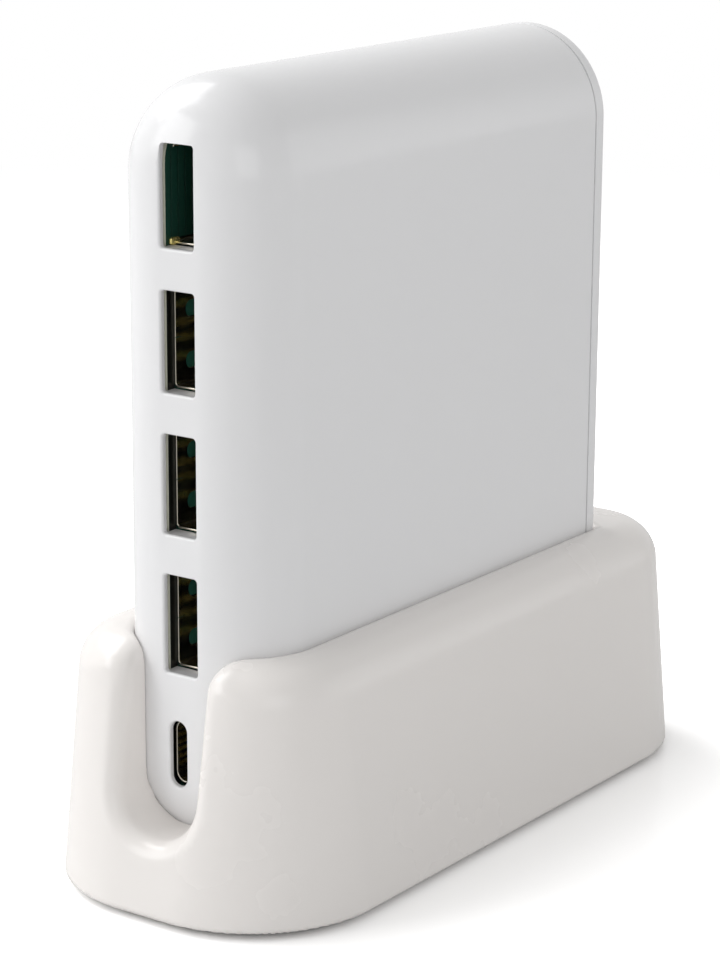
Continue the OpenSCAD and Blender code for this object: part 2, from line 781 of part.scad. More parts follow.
// Outline of the notch as [x, height, outward x, outward height, share of the lip].
function notch_outline(half, floor_h) = let (
    axis = floor_h + half,
    brow = stand_h - notch_mouth_r,
    side = half + notch_mouth_r,
    n = 8,
    least = 0.03,
    mouth = [for (i = [0:n]) let (a = 90 * i / n)
      [side - notch_mouth_r * sin(a), brow + notch_mouth_r * cos(a),
       sin(a), -cos(a), max(least, sin(a))]])
  concat(
    [[-side, stand_h + 4, 0, 0, least]],
    [for (p = mouth) [-p[0], p[1], -p[2], p[3], p[4]]],
    [for (i = [0:2 * n]) let (a = 180 * i / (2 * n))
      [-half * cos(a), axis - half * sin(a), -cos(a), -sin(a), 1]],
    [for (i = [n:-1:0]) mouth[i]],
    [[side, stand_h + 4, 0, 0, least]]
  );

// Ring of the notch's cutter whose lip has turned outwards by an angle.
function notch_ring(base, a) = [for (p = base) let (
    r = notch_lip_r * p[4],
    x = p[0] + p[2] * r * (1 - cos(a)),
    h = p[1] + p[3] * r * (1 - cos(a)))
  [x, front_y(x, h) + r * (1 - sin(a)), h]];

// Cutter of the notch: straight inside, flared by a rounded lip at the front skin.
module notch_cutter() {
  base = notch_outline(notch_half, notch_floor);
  lips = [for (k = [0:lip_steps]) notch_ring(base, 90 * k / lip_steps)];
  translate([0, 0, foot_proud]) skin(concat(
    [[for (p = base) [p[0], case_y + 4, p[1]]]],
    lips,
    [[for (p = lips[lip_steps]) [p[0], -base_d / 2 - 4, p[2]]]]
  ));
}

// Wall of the stand behind the notch's flanks and floor.
module notch_block() {
  half = notch_half + stand_wall;
  floor_z = foot_proud + notch_floor - stand_wall;
  along_y(-base_d / 2, case_y + front_edge_r) {
    translate([0, floor_z + half]) circle(r = half);
    translate([-half, floor_z + half]) square([2 * half, stand_h]);
  }
}

// Four hollow posts that take the base screws.
module at_screws() {
  for (p = screw_places, s = [-1, 1]) translate([s * p[0], p[1], 0]) children();
}

// Ribs across the hollow, above the base plate.
module ribs() {
  for (t = [-1, 0, 1])
    translate([-base_w / 2, t * base_d / 5 - rib_t / 2, plate_z + plate_t + 0.6])
      cube([base_w, rib_t, stand_h]);
}

module stand() {
  block_half = half_w + pocket_fit + pocket_wall;
  color(stand_colour) difference() {
    stand_loft(outer_levels());
    difference() {
      stand_loft([[-cut, stand_wall], [stand_h - rim_r, stand_wall],
                  [stand_cavity_top, rim_r]]);
      in_case() pill(block_half, -pocket_fit - pocket_wall, case_d + pocket_fit + pocket_wall,
                     front_edge_r + pocket_fit + pocket_wall, rear_edge_r + pocket_wall);
      notch_block();
      at_screws() translate([0, 0, plate_z + plate_t]) cylinder(h = stand_h, d = boss_d);
      ribs();
    }
    in_case() pill(half_w + pocket_fit, -pocket_fit, case_d + pocket_fit,
                   front_edge_r + pocket_fit, rear_edge_r);
    notch_cutter();
    at_screws() translate([0, 0, plate_z]) cylinder(h = boss_top - plate_z, d = screw_hole_d);
  }
}

// Plate that closes the stand from below, with seats for the feet and the screw heads.
module base_plate() {
  size = stand_size(plate_recess + plate_t, stand_wall + plate_fit);
  color(stand_colour) difference() {
    translate([0, 0, plate_z]) linear_extrude(height = plate_t)
      rounded_rect(size[0], size[1], size[2]);
    at_screws() {
      translate([0, 0, plate_z - cut]) cylinder(h = plate_t + 2 * cut, d = screw_hole_d + 0.2);
      translate([0, 0, plate_z - cut]) cylinder(h = cut + screw_head_h, d = screw_head_d + 0.4);
    }
    at_feet() translate([0, 0, -cut]) cylinder(h = cut + foot_t, d = foot_d + 2 * foot_fit);
  }
}

module base_screws() {
  color(metal_colour) at_screws() {
    translate([0, 0, plate_z]) cylinder(h = screw_head_h, d = screw_head_d);
    translate([0, 0, plate_z + screw_head_h]) cylinder(h = screw_len, d = screw_d);
  }
}

module at_feet() {
  for (p = foot_places, s = [-1, 1]) translate([s * p[0], p[1], 0]) children();
}

// One rubber foot, with a softened lower edge.
module foot(n) {
  p = foot_places[n <= 2 ? 0 : 1];
  edge = 0.3;
  color([0.25, 0.25, 0.25]) translate([(n % 2 == 1 ? -1 : 1) * p[0], p[1], 0])
    rotate_extrude() {
      square([foot_d / 2 - edge, foot_t]);
      translate([0, edge]) square([foot_d / 2, foot_t - edge]);
    }
}

case_body();
rear_cover();
inlet_moulding();
inlet_pins();
main_board();
insulating_sheet();
usb_a_shell(1);  // usb_a_shell_1
usb_a_shell(2);  // usb_a_shell_2
usb_a_shell(3);  // usb_a_shell_3
usb_a_shell(4);  // usb_a_shell_4
usb_a_tongue(1);  // usb_a_tongue_1
usb_a_tongue(2);  // usb_a_tongue_2
usb_a_tongue(3);  // usb_a_tongue_3
usb_a_tongue(4);  // usb_a_tongue_4
usb_a_contacts(1);  // usb_a_contacts_1
usb_a_contacts(2);  // usb_a_contacts_2
usb_a_contacts(3);  // usb_a_contacts_3
usb_a_contacts(4);  // usb_a_contacts_4
usb_c_shell();
usb_c_tongue();
usb_c_contacts();
transformer_core();
transformer_bobbin();
transformer_winding();
storage_capacitor(1);  // storage_capacitor_1
storage_capacitor(2);  // storage_capacitor_2
filter_capacitor();
choke_core();
choke_winding(1);  // choke_winding_1
choke_winding(2);  // choke_winding_2
fuse();
bridge_rectifier();
switching_transistor();
heat_sink();
output_capacitor(1);  // output_capacitor_1
output_capacitor(2);  // output_capacitor_2
port_coil(1);  // port_coil_1
port_coil(2);  // port_coil_2
port_coil(3);  // port_coil_3
port_coil(4);  // port_coil_4
port_coil(5);  // port_coil_5
control_chips();
stand();
base_plate();
base_screws();
foot(1);  // foot_1
foot(2);  // foot_2
foot(3);  // foot_3
foot(4);  // foot_4
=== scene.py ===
"""Five-socket desk charger in its moulded stand: its finished surfaces and its studio.

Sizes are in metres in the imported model's own frame: X runs across the charger, the
sockets face -Y and Z is up. The stand's form alone is worked out in millimetres.
"""

import json
import math

import bmesh
import bpy
import numpy as np
from bpy.props import FloatProperty, FloatVectorProperty, IntProperty, PointerProperty
from bpy.types import Operator, Panel, PropertyGroup
from mathutils import Matrix, Vector


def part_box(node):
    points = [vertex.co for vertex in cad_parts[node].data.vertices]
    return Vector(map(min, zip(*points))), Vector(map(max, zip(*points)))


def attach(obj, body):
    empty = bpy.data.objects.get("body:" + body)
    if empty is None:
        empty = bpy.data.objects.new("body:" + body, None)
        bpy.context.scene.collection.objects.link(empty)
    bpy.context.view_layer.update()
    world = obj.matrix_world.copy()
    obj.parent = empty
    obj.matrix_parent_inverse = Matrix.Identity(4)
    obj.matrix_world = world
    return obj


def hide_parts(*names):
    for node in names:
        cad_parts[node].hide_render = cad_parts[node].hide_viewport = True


bl_info = {
    "name": "Desk charger in its stand",
    "version": (1, 0, 0),
    "blender": (4, 5, 0),
    "location": "3D View > Sidebar > Charger",
    "description": "Builds the visible shells, fittings, finishes and studio of a desk charger",
    "category": "Object",
}

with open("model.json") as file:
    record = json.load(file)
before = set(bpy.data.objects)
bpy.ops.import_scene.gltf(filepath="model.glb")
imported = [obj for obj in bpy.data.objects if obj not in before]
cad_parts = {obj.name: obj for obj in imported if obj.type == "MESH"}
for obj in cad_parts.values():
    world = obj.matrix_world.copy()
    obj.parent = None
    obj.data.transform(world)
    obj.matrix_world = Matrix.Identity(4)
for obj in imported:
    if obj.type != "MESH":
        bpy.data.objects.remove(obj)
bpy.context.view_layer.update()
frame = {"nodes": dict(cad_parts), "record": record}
MM = 0.001
BODY = "root"
USB_A_SOCKETS = (1, 2, 3, 4)
FEET = ("foot_1", "foot_2", "foot_3", "foot_4")

# Steps that stand for a quarter round at a slot's mouth, and how far a cutter overshoots.
CUT_STEPS = 5
CUT_REACH = 1 * MM
# Corner radii, as shares of the width, that leave round ends.
ROUND_END = 0.499
WINDOW_END = 0.49
# Heights of the contact fingers from the middle of their socket, in millimetres.
CONTACT_PLACES = (-3.5, -1, 1, 3.5)
# Radius of the circle that turned parts are swept on.
TURNING_CORE = 0.2 * MM
# Ranges, in millimetres, over which the board's painted shade and painted light end upwards,
# over which its near-black painted shade ends backwards, and over which the painted light
# behind the spring windows begins.
PAINTED_MARKS_TOP = (85, 86)
PAINTED_SHADE_BACK = (-43.7, -43.5)
PAINTED_LIGHT_FRONT = (-43.3, -43.1)


# Sizes and colours


def length(name, description, millimetres):
    """A length property that takes its default in millimetres."""
    return FloatProperty(
        name=name,
        description=description,
        default=millimetres * MM,
        min=0.0,
        precision=5,
        unit="LENGTH",
        subtype="DISTANCE",
    )


def colour(name, description, rgb):
    """A colour property with linear red, green and blue."""
    return FloatVectorProperty(
        name=name,
        description=description,
        default=rgb,
        size=3,
        min=0.0,
        max=1.0,
        subtype="COLOR",
    )


class ChargerCase(PropertyGroup):
    """Sizes of the case's visible form."""

    edge_radius: length("Face rounding", "Radius that rounds the case into its socket face", 10)
    face_wall: length("Face wall", "Thickness of the wall that the slots go through", 0.8)
    side_wall: length("Side wall", "Thickness of the flat sides", 2.2)
    rear_radius: length("Rear rounding", "Radius of the rear edge", 1.2)
    seam: length("Seam", "Width of the seam in front of the rear cover", 0.3)
    seam_edge: length("Seam edge", "Rounding of both edges of the seam", 0.12)
    mouth_edge: length("Mouth edge", "Rounding of the mouths of the slots", 0.38)
    slot_width: length("Slot width", "Width of a USB-A slot", 5.4)
    slot_height: length("Slot height", "Height of a USB-A slot", 13.4)
    slot_corner: length("Slot corner", "Corner radius of a USB-A slot", 0.5)
    small_slot_width: length("Small slot width", "Width of the USB-C slot", 2.8)
    small_slot_height: length("Small slot height", "Height of the USB-C slot", 9.1)
    skirt_wall: length("Skirt wall", "Thickness of the rear cover's skirt", 1.4)
    skirt_inset: length("Skirt inset", "Distance of the skirt from the outer face", 2.35)
    inlet_width: length("Inlet width", "Width of the opening for the mains inlet", 12.2)
    inlet_height: length("Inlet height", "Height of the opening for the mains inlet", 21.6)
    inlet_corner: length("Inlet corner", "Corner radius of that opening", 1.3)
    round_points: IntProperty(
        name="Points round", description="Points round the case's outline", default=160, min=32
    )


class ChargerSockets(PropertyGroup):
    """Sizes of the sheet-metal sockets, their contacts, the feet and the screws."""

    sheet: length("Sheet", "Thickness of a socket's sheet metal", 0.3)
    sheet_corner: length("Sheet corner", "Outer corner radius of a USB-A socket", 0.7)
    window_front: length("Window place", "Distance of a spring window from the mouth", 2.2)
    window_length: length("Window length", "Length of a spring window", 5)
    window_height: length("Window height", "Height of a spring window", 2.1)
    window_pitch: length("Window pitch", "Distance between the two spring windows", 6.8)
    open_side: length("Open side", "Length of the open side of the top socket", 9)
    finger_width: length("Finger width", "Width of a gilt contact finger", 1)
    finger_rise: length("Finger rise", "Height of a finger's contact bump", 0.55)
    finger_wall: length("Finger wall", "Thickness of a finger", 0.2)
    screw_head: length("Screw head", "Diameter of a screw's head", 4.6)
    screw_head_height: length("Screw head height", "Height of a screw's head", 1.2)
    screw_shank: length("Screw shank", "Diameter of a screw's shank", 2.5)
    sill: length("Sill", "Thickness of the white sill below a USB-A socket", 0.5)
    foot_edge: length("Foot edge", "Rounding of a foot's lower edge", 0.5)


class ChargerStand(PropertyGroup):
    """Sizes of the stand's form."""

    foot_gap: length("Gap below", "Height of the lower edge above the surface", 0.8)
    rim_width: length("Rim width", "Width at the rim", 40.6)
    rim_length: length("Rim length", "Length at the rim", 99.8)
    rim_corner: length("Rim corner", "Corner radius at the rim", 11.5)
    base_width: length("Base width", "Width at the lower edge", 47)
    base_length: length("Base length", "Length at the lower edge", 111.2)
    base_corner: length("Base corner", "Corner radius at the lower edge", 19.3)
    rim_radius: length("Rim rounding", "Radius of the rounded rim", 5.4)
    lower_radius: length("Lower rounding", "Radius of the lower edge", 0.7)
    pocket_radius: length("Pocket rounding", "Radius of the pocket's upper edge", 1.3)
    pocket_fit: length("Pocket clearance", "Clearance of the case in its pocket", 0.02)
    wall: length("Wall", "Thickness of the outer skin", 2.4)
    pocket_wall: length("Pocket wall", "Thickness of the wall round the pocket", 2)
    notch_half: length("Notch half width", "Half the width of the notch", 6.4)
    notch_floor: length("Notch floor", "Height of the notch's bottom above the lower edge", 9.8)
    lip_radius: length("Lip rounding", "Radius of the notch's outer edge", 2.4)
    mouth_radius: length("Mouth rounding", "Radius where the notch meets the rim", 3.6)
    inner_radius: length("Inner rounding", "Radius where the notch meets the pocket", 0.12)
    boss: length("Boss", "Radius of the posts that take the screws", 2.8)
    cell: length("Cell", "Grid step that the surface is found on", 0.7)


class ChargerFinish(PropertyGroup):
    """Colours of the finishes."""

    case: colour("Case", "White gloss plastic of the case", (0.86, 0.86, 0.868))
    stand: colour("Stand", "Slightly warmer white gloss plastic of the stand", (0.9, 0.868, 0.84))
    nickel: colour("Nickel", "Plated sheet metal of the sockets", (0.74, 0.69, 0.58))
    gilt: colour("Gilt", "Gilt spring contacts", (0.95, 0.8, 0.3))
    board: colour("Board", "Solder mask of the circuit board", (0.009, 0.045, 0.032))
    laminate: colour("Laminate", "Bare edge of the circuit board", (0.95, 0.94, 0.76))
    black: colour("Black plastic", "Moulded black plastic", (0.012, 0.012, 0.013))
    rubber: colour("Rubber", "Rubber of the feet", (0.05, 0.05, 0.052))


class ChargerStudio(PropertyGroup):
    """Strengths of the lights."""

    surround: FloatProperty(
        name="Surround", description="Strength of the even light from all round", default=0.44
    )
    mirrored: FloatProperty(
        name="Mirrored surround", description="Strength of the surround in reflections", default=0.9
    )
    floor: colour("Floor", "Colour of the floor", (0.82, 0.82, 0.82))


# Node expressions


class Wire:
    """A socket in a node tree. Arithmetic on it adds Math nodes to the same tree."""

    def __init__(self, tree, socket):
        self.tree = tree
        self.socket = socket

    def other(self, name):
        """Another output of the same node."""
        return Wire(self.tree, self.socket.node.outputs[name])

    def maths(self, operation, *values):
        return self.tree.add(
            "ShaderNodeMath", {"operation": operation}, dict(enumerate(values))
        )

    def __add__(self, other):
        return self.maths("ADD", self, other)

    def __radd__(self, other):
        return self.maths("ADD", other, self)

    def __mul__(self, other):
        return self.maths("MULTIPLY", self, other)

    def __rmul__(self, other):
        return self.maths("MULTIPLY", other, self)

    def __truediv__(self, other):
        return self.maths("DIVIDE", self, other)

    def __rtruediv__(self, other):
        return self.maths("DIVIDE", other, self)

    def at_least(self, other):
        return self.maths("MAXIMUM", self, other)

    def sign(self):
        return self.maths("SIGN", self)

    def ramp(self, low, high, to_low=0.0, to_high=1.0):
        """This value from low to high, mapped smoothly and clamped to the new range."""
        return self.tree.add(
            "ShaderNodeMapRange",
            {"interpolation_type": "SMOOTHSTEP"},
            {"Value": self, "From Min": low, "From Max": high, "To Min": to_low, "To Max": to_high},
        )


class Tree:
    """Adds nodes to a shader or geometry tree."""

    def __init__(self, tree):
        self.tree = tree

    def add(self, kind, settings=None, inputs=None, output=0):
        """A node with its settings first, then its sockets' values or links."""
        node = self.tree.nodes.new(kind)
        for key, value in (settings or {}).items():
            setattr(node, key, value)
        for key, value in (inputs or {}).items():
            if isinstance(value, Wire):
                self.tree.links.new(value.socket, node.inputs[key])
            else:
                node.inputs[key].default_value = value
        return Wire(self, node.outputs[output] if len(node.outputs) else None)

    def split(self, vector):
        """The vector's X; its Y and Z are other outputs of the same node."""
        return self.add("ShaderNodeSeparateXYZ", inputs={0: vector})

    def join(self, **parts):
        """A vector from those of its parts that aren't 0."""
        return self.add("ShaderNodeCombineXYZ", inputs=parts)

    def mix(self, factor, low, high):
        """A blend of two colours by a factor from 0 to 1."""
        return self.add(
            "ShaderNodeMix", {"data_type": "RGBA"}, {"Factor": factor, 6: low, 7: high}, output=2
        )

    def measure(self, vector):
        """A vector's length."""
        return self.add("ShaderNodeVectorMath", {"operation": "LENGTH"}, {0: vector}, output=1)


# Materials


def rgba(rgb):
    return (*rgb, 1.0)


def place(tree, stretch=(1, 1, 1)):
    """Object coordinates in millimetres, stretched along the axes."""
    return tree.add(
        "ShaderNodeMapping",
        {"vector_type": "POINT"},
        {
            "Vector": tree.add("ShaderNodeTexCoord", output="Object"),
            "Scale": [s / MM for s in stretch],
        },
    )


def noise(tree, where, scale, detail=2.0):
    return tree.add(
        "ShaderNodeTexNoise", inputs={"Vector": where, "Scale": scale, "Detail": detail}
    )


def shade(tree, rgb, factor, low=0.9, high=1.05):
    """A colour that a factor from 0 to 1 makes darker or lighter."""
    darker = rgba([c * low for c in rgb])
    lighter = rgba([min(1.0, c * high) for c in rgb])
    return tree.mix(factor, darker, lighter)


def bump(tree, height, depth_mm, strength=1.0):
    return tree.add(
        "ShaderNodeBump", inputs={"Height": height, "Distance": depth_mm * MM, "Strength": strength}
    )


def new_material(name, build):
    """A material whose surface is what build adds to its tree."""
    material = bpy.data.materials.new(name)
    material.use_nodes = True
    material.node_tree.nodes.clear()
    tree = Tree(material.node_tree)
    tree.add("ShaderNodeOutputMaterial", inputs={"Surface": build(tree)})
    return material


def surface(tree, **sockets):
    """The main shader. Underscores in the names stand for spaces."""
    return tree.add(
        "ShaderNodeBsdfPrincipled",
        inputs={key.replace("_", " "): value for key, value in sockets.items()},
    )


def gloss_plastic(name, rgb, roughness):
    """Polished injection-moulded plastic: faint ripple, finer grain and handling haze."""

    def build(tree):
        where = place(tree)
        ripple = noise(tree, where, 0.12, 1.0)
        grain = noise(tree, where, 2.4, 3.0)
        haze = noise(tree, where, 0.05, 4.0)
        tone = noise(tree, where, 0.02, 2.0)
        return surface(
            tree,
            Base_Color=shade(tree, rgb, tone, 0.985, 1.01),
            Roughness=haze.ramp(0.3, 0.7, roughness - 0.03, roughness + 0.04),
            IOR=1.5,
            Normal=bump(tree, ripple + grain * 0.04, 0.004, 0.5),
        )

    return new_material(name, build)


def moulded_plastic(name, rgb, roughness=0.45, grain_mm=0.5):
    """Spark-textured plastic with a fine even grain."""

    def build(tree):
        where = place(tree)
        grain = noise(tree, where, 1 / grain_mm, 4.0)
        return surface(
            tree,
            Base_Color=shade(tree, rgb, grain, 0.8, 1.25),
            Roughness=noise(tree, where, 0.2).ramp(0.3, 0.7, roughness - 0.06, roughness + 0.08),
            Normal=bump(tree, grain, 0.03, 0.6),
        )

    return new_material(name, build)


def drawn_metal(name, rgb, roughness=0.3, stretch=(1, 0.06, 1), metallic=1.0):
    """Rolled or drawn metal with fine lines along it and a little tarnish."""

    def build(tree):
        lines = noise(tree, place(tree, stretch), 6.0, 2.0)
        tarnish = noise(tree, place(tree), 0.4, 3.0)
        return surface(
            tree,
            Base_Color=shade(tree, rgb, tarnish, 0.85, 1.08),
            Metallic=metallic,
            Roughness=lines.ramp(0.3, 0.75, roughness - 0.04, roughness + 0.07),
            Normal=bump(tree, lines, 0.0015, 0.5),
        )

    return new_material(name, build)


def solder_mask(name, rgb, edge_rgb):
    """Circuit board: gloss lacquer over tracks and woven glass, bare sawn edges, painted shade and
    light.
    """

    def build(tree):
        where = place(tree)
        weave = tree.add(
            "ShaderNodeTexWave",
            {"wave_type": "BANDS", "bands_direction": "Y"},
            {"Vector": where, "Scale": 1.1, "Distortion": 0.4},
            output=1,
        )
        tracks = tree.add(
            "ShaderNodeTexBrick",
            inputs={"Vector": where, "Scale": 0.35, "Mortar Size": 0.09},
            output=1,
        )
        across = tree.split(tree.add("ShaderNodeNewGeometry", output="Normal"))
        flat = (across * across).ramp(0.4, 0.6)
        spot = tree.split(where)
        lower = spot.other("Z").ramp(*PAINTED_MARKS_TOP, 1.0, 0.0)
        # Painted shade: a near-black band on the board's faces in front of the lower sockets.
        painted_shade_band = spot.other("Y").ramp(*PAINTED_SHADE_BACK, 1.0, 0.0) * lower
        # Painted light: the board behind the spring windows, at about four times its own colour.
        windows = spot.other("Y").ramp(*PAINTED_LIGHT_FRONT) * lower
        fibres = noise(tree, place(tree, (1, 1, 0.3)), 4.0, 3.0)
        # Tracks and weave vary the mask a little; the painted light lifts it far above its colour.
        tracks_and_painted_light = (tracks * 0.5 + weave * 0.2) * 0.25 + windows * 0.75
        sawn = shade(tree, edge_rgb, fibres, 0.8, 1.15)
        colours = tree.mix(flat, sawn, shade(tree, rgb, tracks_and_painted_light, 0.8, 5.0))
        # The painted shade band turns the board's faces near-black.
        colours = tree.mix(painted_shade_band * flat, colours, (0.004, 0.005, 0.004, 1))
        return surface(
            tree,
            Base_Color=colours,
            Roughness=flat * -0.35 + 0.65 + weave * 0.05,
            Normal=bump(tree, tracks * flat + fibres * 0.3, 0.02),
        )

    return new_material(name, build)


def wound_wire(name, rgb, pitch_mm, metallic=1.0, roughness=0.3):
    """Enamelled wire or tape laid turn by turn."""

    def build(tree):
        turns = tree.add(
            "ShaderNodeTexWave",
            {"wave_type": "BANDS", "bands_direction": "Y"},
            {"Vector": place(tree), "Scale": 1 / (math.pi * pitch_mm), "Distortion": 0.3},
            output=1,
        )
        return surface(
            tree,
            Base_Color=shade(tree, rgb, turns, 0.5, 1.15),
            Metallic=metallic,
            Roughness=turns.ramp(0, 1, roughness + 0.15, roughness),
            Normal=bump(tree, turns, 0.25 * pitch_mm),
        )

    return new_material(name, build)


def sintered(name, rgb, roughness=0.6):
    """Pressed and fired ferrite, with fine pits."""

    def build(tree):
        where = place(tree)
        pits = noise(tree, where, 3.0, 5.0)
        return surface(
            tree,
            Base_Color=shade(tree, rgb, pits, 0.7, 1.3),
            Roughness=pits.ramp(0.3, 0.7, roughness - 0.1, roughness + 0.15),
            Normal=bump(tree, pits, 0.04),
        )

    return new_material(name, build)


def soft_rubber(name, rgb):
    """Moulded rubber with a dull grain and dust in it."""

    def build(tree):
        where = place(tree)
        grain = noise(tree, where, 3.5, 5.0)
        dust = noise(tree, where, 0.5, 3.0)
        return surface(
            tree,
            Base_Color=shade(tree, rgb, dust, 0.8, 1.7),
            Roughness=grain.ramp(0.3, 0.7, 0.7, 0.88),
            Normal=bump(tree, grain, 0.05),
        )

    return new_material(name, build)


def make_finishes(finish):
    """Every finish by the name of its material slot in the record."""
    return {
        "case_shell": gloss_plastic("white_gloss_case", finish.case, 0.2),
        "stand_shell": gloss_plastic("white_gloss_stand", finish.stand, 0.24),
        "base_plate": moulded_plastic("white_satin_plate", (0.8, 0.785, 0.765), 0.42, 0.6),
        "rubber": soft_rubber("dark_rubber", finish.rubber),
        "screw": drawn_metal("zinc_screw", (0.6, 0.6, 0.62), 0.32, (1, 1, 0.1)),
        "inlet_black": moulded_plastic("inlet_black_plastic", finish.black, 0.38, 0.5),
        "pin_metal": drawn_metal("nickel_pin", (0.66, 0.63, 0.57), 0.22),
        "socket_metal": drawn_metal("nickel_sheet", finish.nickel, 0.2),
        "socket_black": moulded_plastic("black_insert", finish.black, 0.42, 0.7),
        "gold": drawn_metal("gilt_contact", finish.gilt, 0.25, (1, 0.06, 1), 0.8),
        "board_green": solder_mask("solder_mask_green", finish.board, finish.laminate),
        "sheet_plastic": moulded_plastic("ivory_sheet", (0.72, 0.68, 0.55), 0.5, 1.5),
        "ferrite": sintered("ferrite", (0.045, 0.045, 0.05)),
        "tape_yellow": wound_wire("yellow_tape", (0.72, 0.5, 0.03), 4.0, 0.0),
        "component_black": moulded_plastic("epoxy_black", (0.018, 0.018, 0.02), 0.5, 0.4),
        "capacitor_sleeve": moulded_plastic("capacitor_sleeve", (0.02, 0.024, 0.06), 0.3, 2.0),
        "copper_wire": wound_wire("enamelled_copper", (0.62, 0.22, 0.07), 0.8),
        "aluminium": drawn_metal("aluminium_sheet", (0.76, 0.77, 0.79), 0.38, (1, 1, 0.08)),
    }


# Mesh tools


def link(name, mesh):
    """A new object at the origin that holds mesh."""
    piece = bpy.data.objects.new(name, mesh)
    bpy.context.scene.collection.objects.link(piece)
    return piece


def finish_piece(piece, slot, *nodes):
    """Rides the piece on the charger, in its finish, in place of CAD nodes."""
    if not piece.data.materials:
        piece.data.materials.append(None)
    piece.data.materials[0] = FINISHES[slot]
    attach(piece, BODY)
    if nodes:
        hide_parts(*nodes)


def baked(piece):
    """The piece with its modifiers turned into a plain mesh, and then removed."""
    evaluated = piece.evaluated_get(bpy.context.evaluated_depsgraph_get())
    mesh = bpy.data.meshes.new_from_object(evaluated)
    piece.modifiers.clear()
    piece.data = mesh
    mesh.name = piece.name
    return piece


def set_input(modifier, name, value):
    """Sets an input of a Geometry Nodes modifier by the name of its socket."""
    for item in modifier.node_group.interface.items_tree:
        if item.item_type == "SOCKET" and item.in_out == "INPUT" and item.name == name:
            modifier[item.identifier] = value
            return
    raise ValueError(f"{modifier.node_group.name} has no input {name}")


def geometry_tree(name, inputs):
    """A Geometry Nodes tree with named inputs: (tree, {name: wire}, finish function)."""
    group = bpy.data.node_groups.new(name, "GeometryNodeTree")
    group.interface.new_socket("Geometry", in_out="INPUT", socket_type="NodeSocketGeometry")
    group.interface.new_socket("Geometry", in_out="OUTPUT", socket_type="NodeSocketGeometry")
    for key, kind in {**inputs, "Material": "Material"}.items():
        group.interface.new_socket(key, in_out="INPUT", socket_type="NodeSocket" + kind)
    tree = Tree(group)
    source = tree.add("NodeGroupInput")
    wires = {key: source.other(key) for key in ("Geometry", *inputs, "Material")}

    def close(geometry):
        """Ends the tree: instances made real, in their material."""
        real = tree.add("GeometryNodeRealizeInstances", inputs={"Geometry": geometry})
        dressed = tree.add(
            "GeometryNodeSetMaterial", inputs={"Geometry": real, "Material": wires["Material"]}
        )
        tree.add("NodeGroupOutput", inputs={"Geometry": dressed})
        return group

    return tree, wires, close


def run_tree(name, group, points, values, edges=()):
    """An object with the tree's result, made from points and edges that the tree reads."""
    mesh = bpy.data.meshes.new(name)
    mesh.from_pydata([tuple(p) for p in points], list(edges), [])
    piece = link(name, mesh)
    modifier = piece.modifiers.new("Form", "NODES")
    modifier.node_group = group
    for key, value in values.items():
        set_input(modifier, key, value)
    return baked(piece)


def close_mesh(piece, sharp_degrees=32.0):
    """Merges doubles, turns faces outwards, marks the sharp edges and evens the shading."""
    shape = bmesh.new()
    shape.from_mesh(piece.data)
    bmesh.ops.remove_doubles(shape, verts=shape.verts, dist=1e-7)
    bmesh.ops.recalc_face_normals(shape, faces=shape.faces)
    if any(not edge.is_manifold for edge in shape.edges):
        raise RuntimeError(f"{piece.name} has open edges")
    shape.to_mesh(piece.data)
    shape.free()
    piece.data.polygons.foreach_set("use_smooth", [True] * len(piece.data.polygons))
    piece.data.set_sharp_from_angle(angle=math.radians(sharp_degrees))
    piece.modifiers.new("Even shading", "WEIGHTED_NORMAL").keep_sharp = True
    return baked(piece)


def rounded_rectangle(width, height, radius, steps=8):
    """Points of a rectangle with round corners in X and Z, about the origin."""
    x, z = width / 2 - radius, height / 2 - radius
    corners = ((x, z, 0), (-x, z, 90), (-x, -z, 180), (x, -z, 270))
    return [
        (
            cx + radius * math.cos(math.radians(start + 90 * i / steps)),
            cz + radius * math.sin(math.radians(start + 90 * i / steps)),
        )
        for cx, cz, start in corners
        for i in range(steps + 1)
    ]


def skin(name, middle, width, height, corner, levels, tube=False):
    """Solid skinned over round-cornered rings, each given as (wider, y); a tube closes on itself."""
    least_corner = 0.02 * MM
    shape = bmesh.new()
    rings = [
        [
            shape.verts.new((x + middle.x, y, z + middle.z))
            for x, z in rounded_rectangle(
                width + 2 * wider, height + 2 * wider, max(corner + wider, least_corner)
            )
        ]
        for wider, y in levels
    ]
    following = rings[1:] + rings[:1] if tube else rings[1:]
    for first, second in zip(rings, following):
        for i, vertex in enumerate(first):
            j = (i + 1) % len(first)
            shape.faces.new((vertex, first[j], second[j], second[i]))
    if not tube:
        shape.faces.new(rings[0])
        shape.faces.new(rings[-1])
    bmesh.ops.recalc_face_normals(shape, faces=shape.faces)
    mesh = bpy.data.meshes.new(name)
    shape.to_mesh(mesh)
    shape.free()
    return link(name, mesh)


def cutter(name, middle, width, height, corner, rounding, mouth_y, end_y):
    """Solid that cuts a slot along Y, flared at its mouth to round the slot's edge."""
    tilt = 0.004 * MM
    into = 1 if end_y > mouth_y else -1
    levels = [(rounding, mouth_y - into * CUT_REACH), (rounding, mouth_y - into * tilt)]
    for i in range(1, CUT_STEPS + 1):
        angle = math.radians(90 * i / CUT_STEPS)
        depth = rounding * (1 - math.cos(angle)) - tilt
        levels.append((rounding * (1 - math.sin(angle)), mouth_y + into * depth))
    levels.append((0.0, end_y + into * CUT_REACH))
    return skin(name, middle, width, height, corner, levels)


def cut_away(piece, cutters):
    """Takes the cutters out of the piece and removes them."""
    for tool in cutters:
        cut = piece.modifiers.new(tool.name, "BOOLEAN")
        cut.operation, cut.solver, cut.object = "DIFFERENCE", "EXACT", tool
    baked(piece)
    for tool in cutters:
        bpy.data.meshes.remove(tool.data)


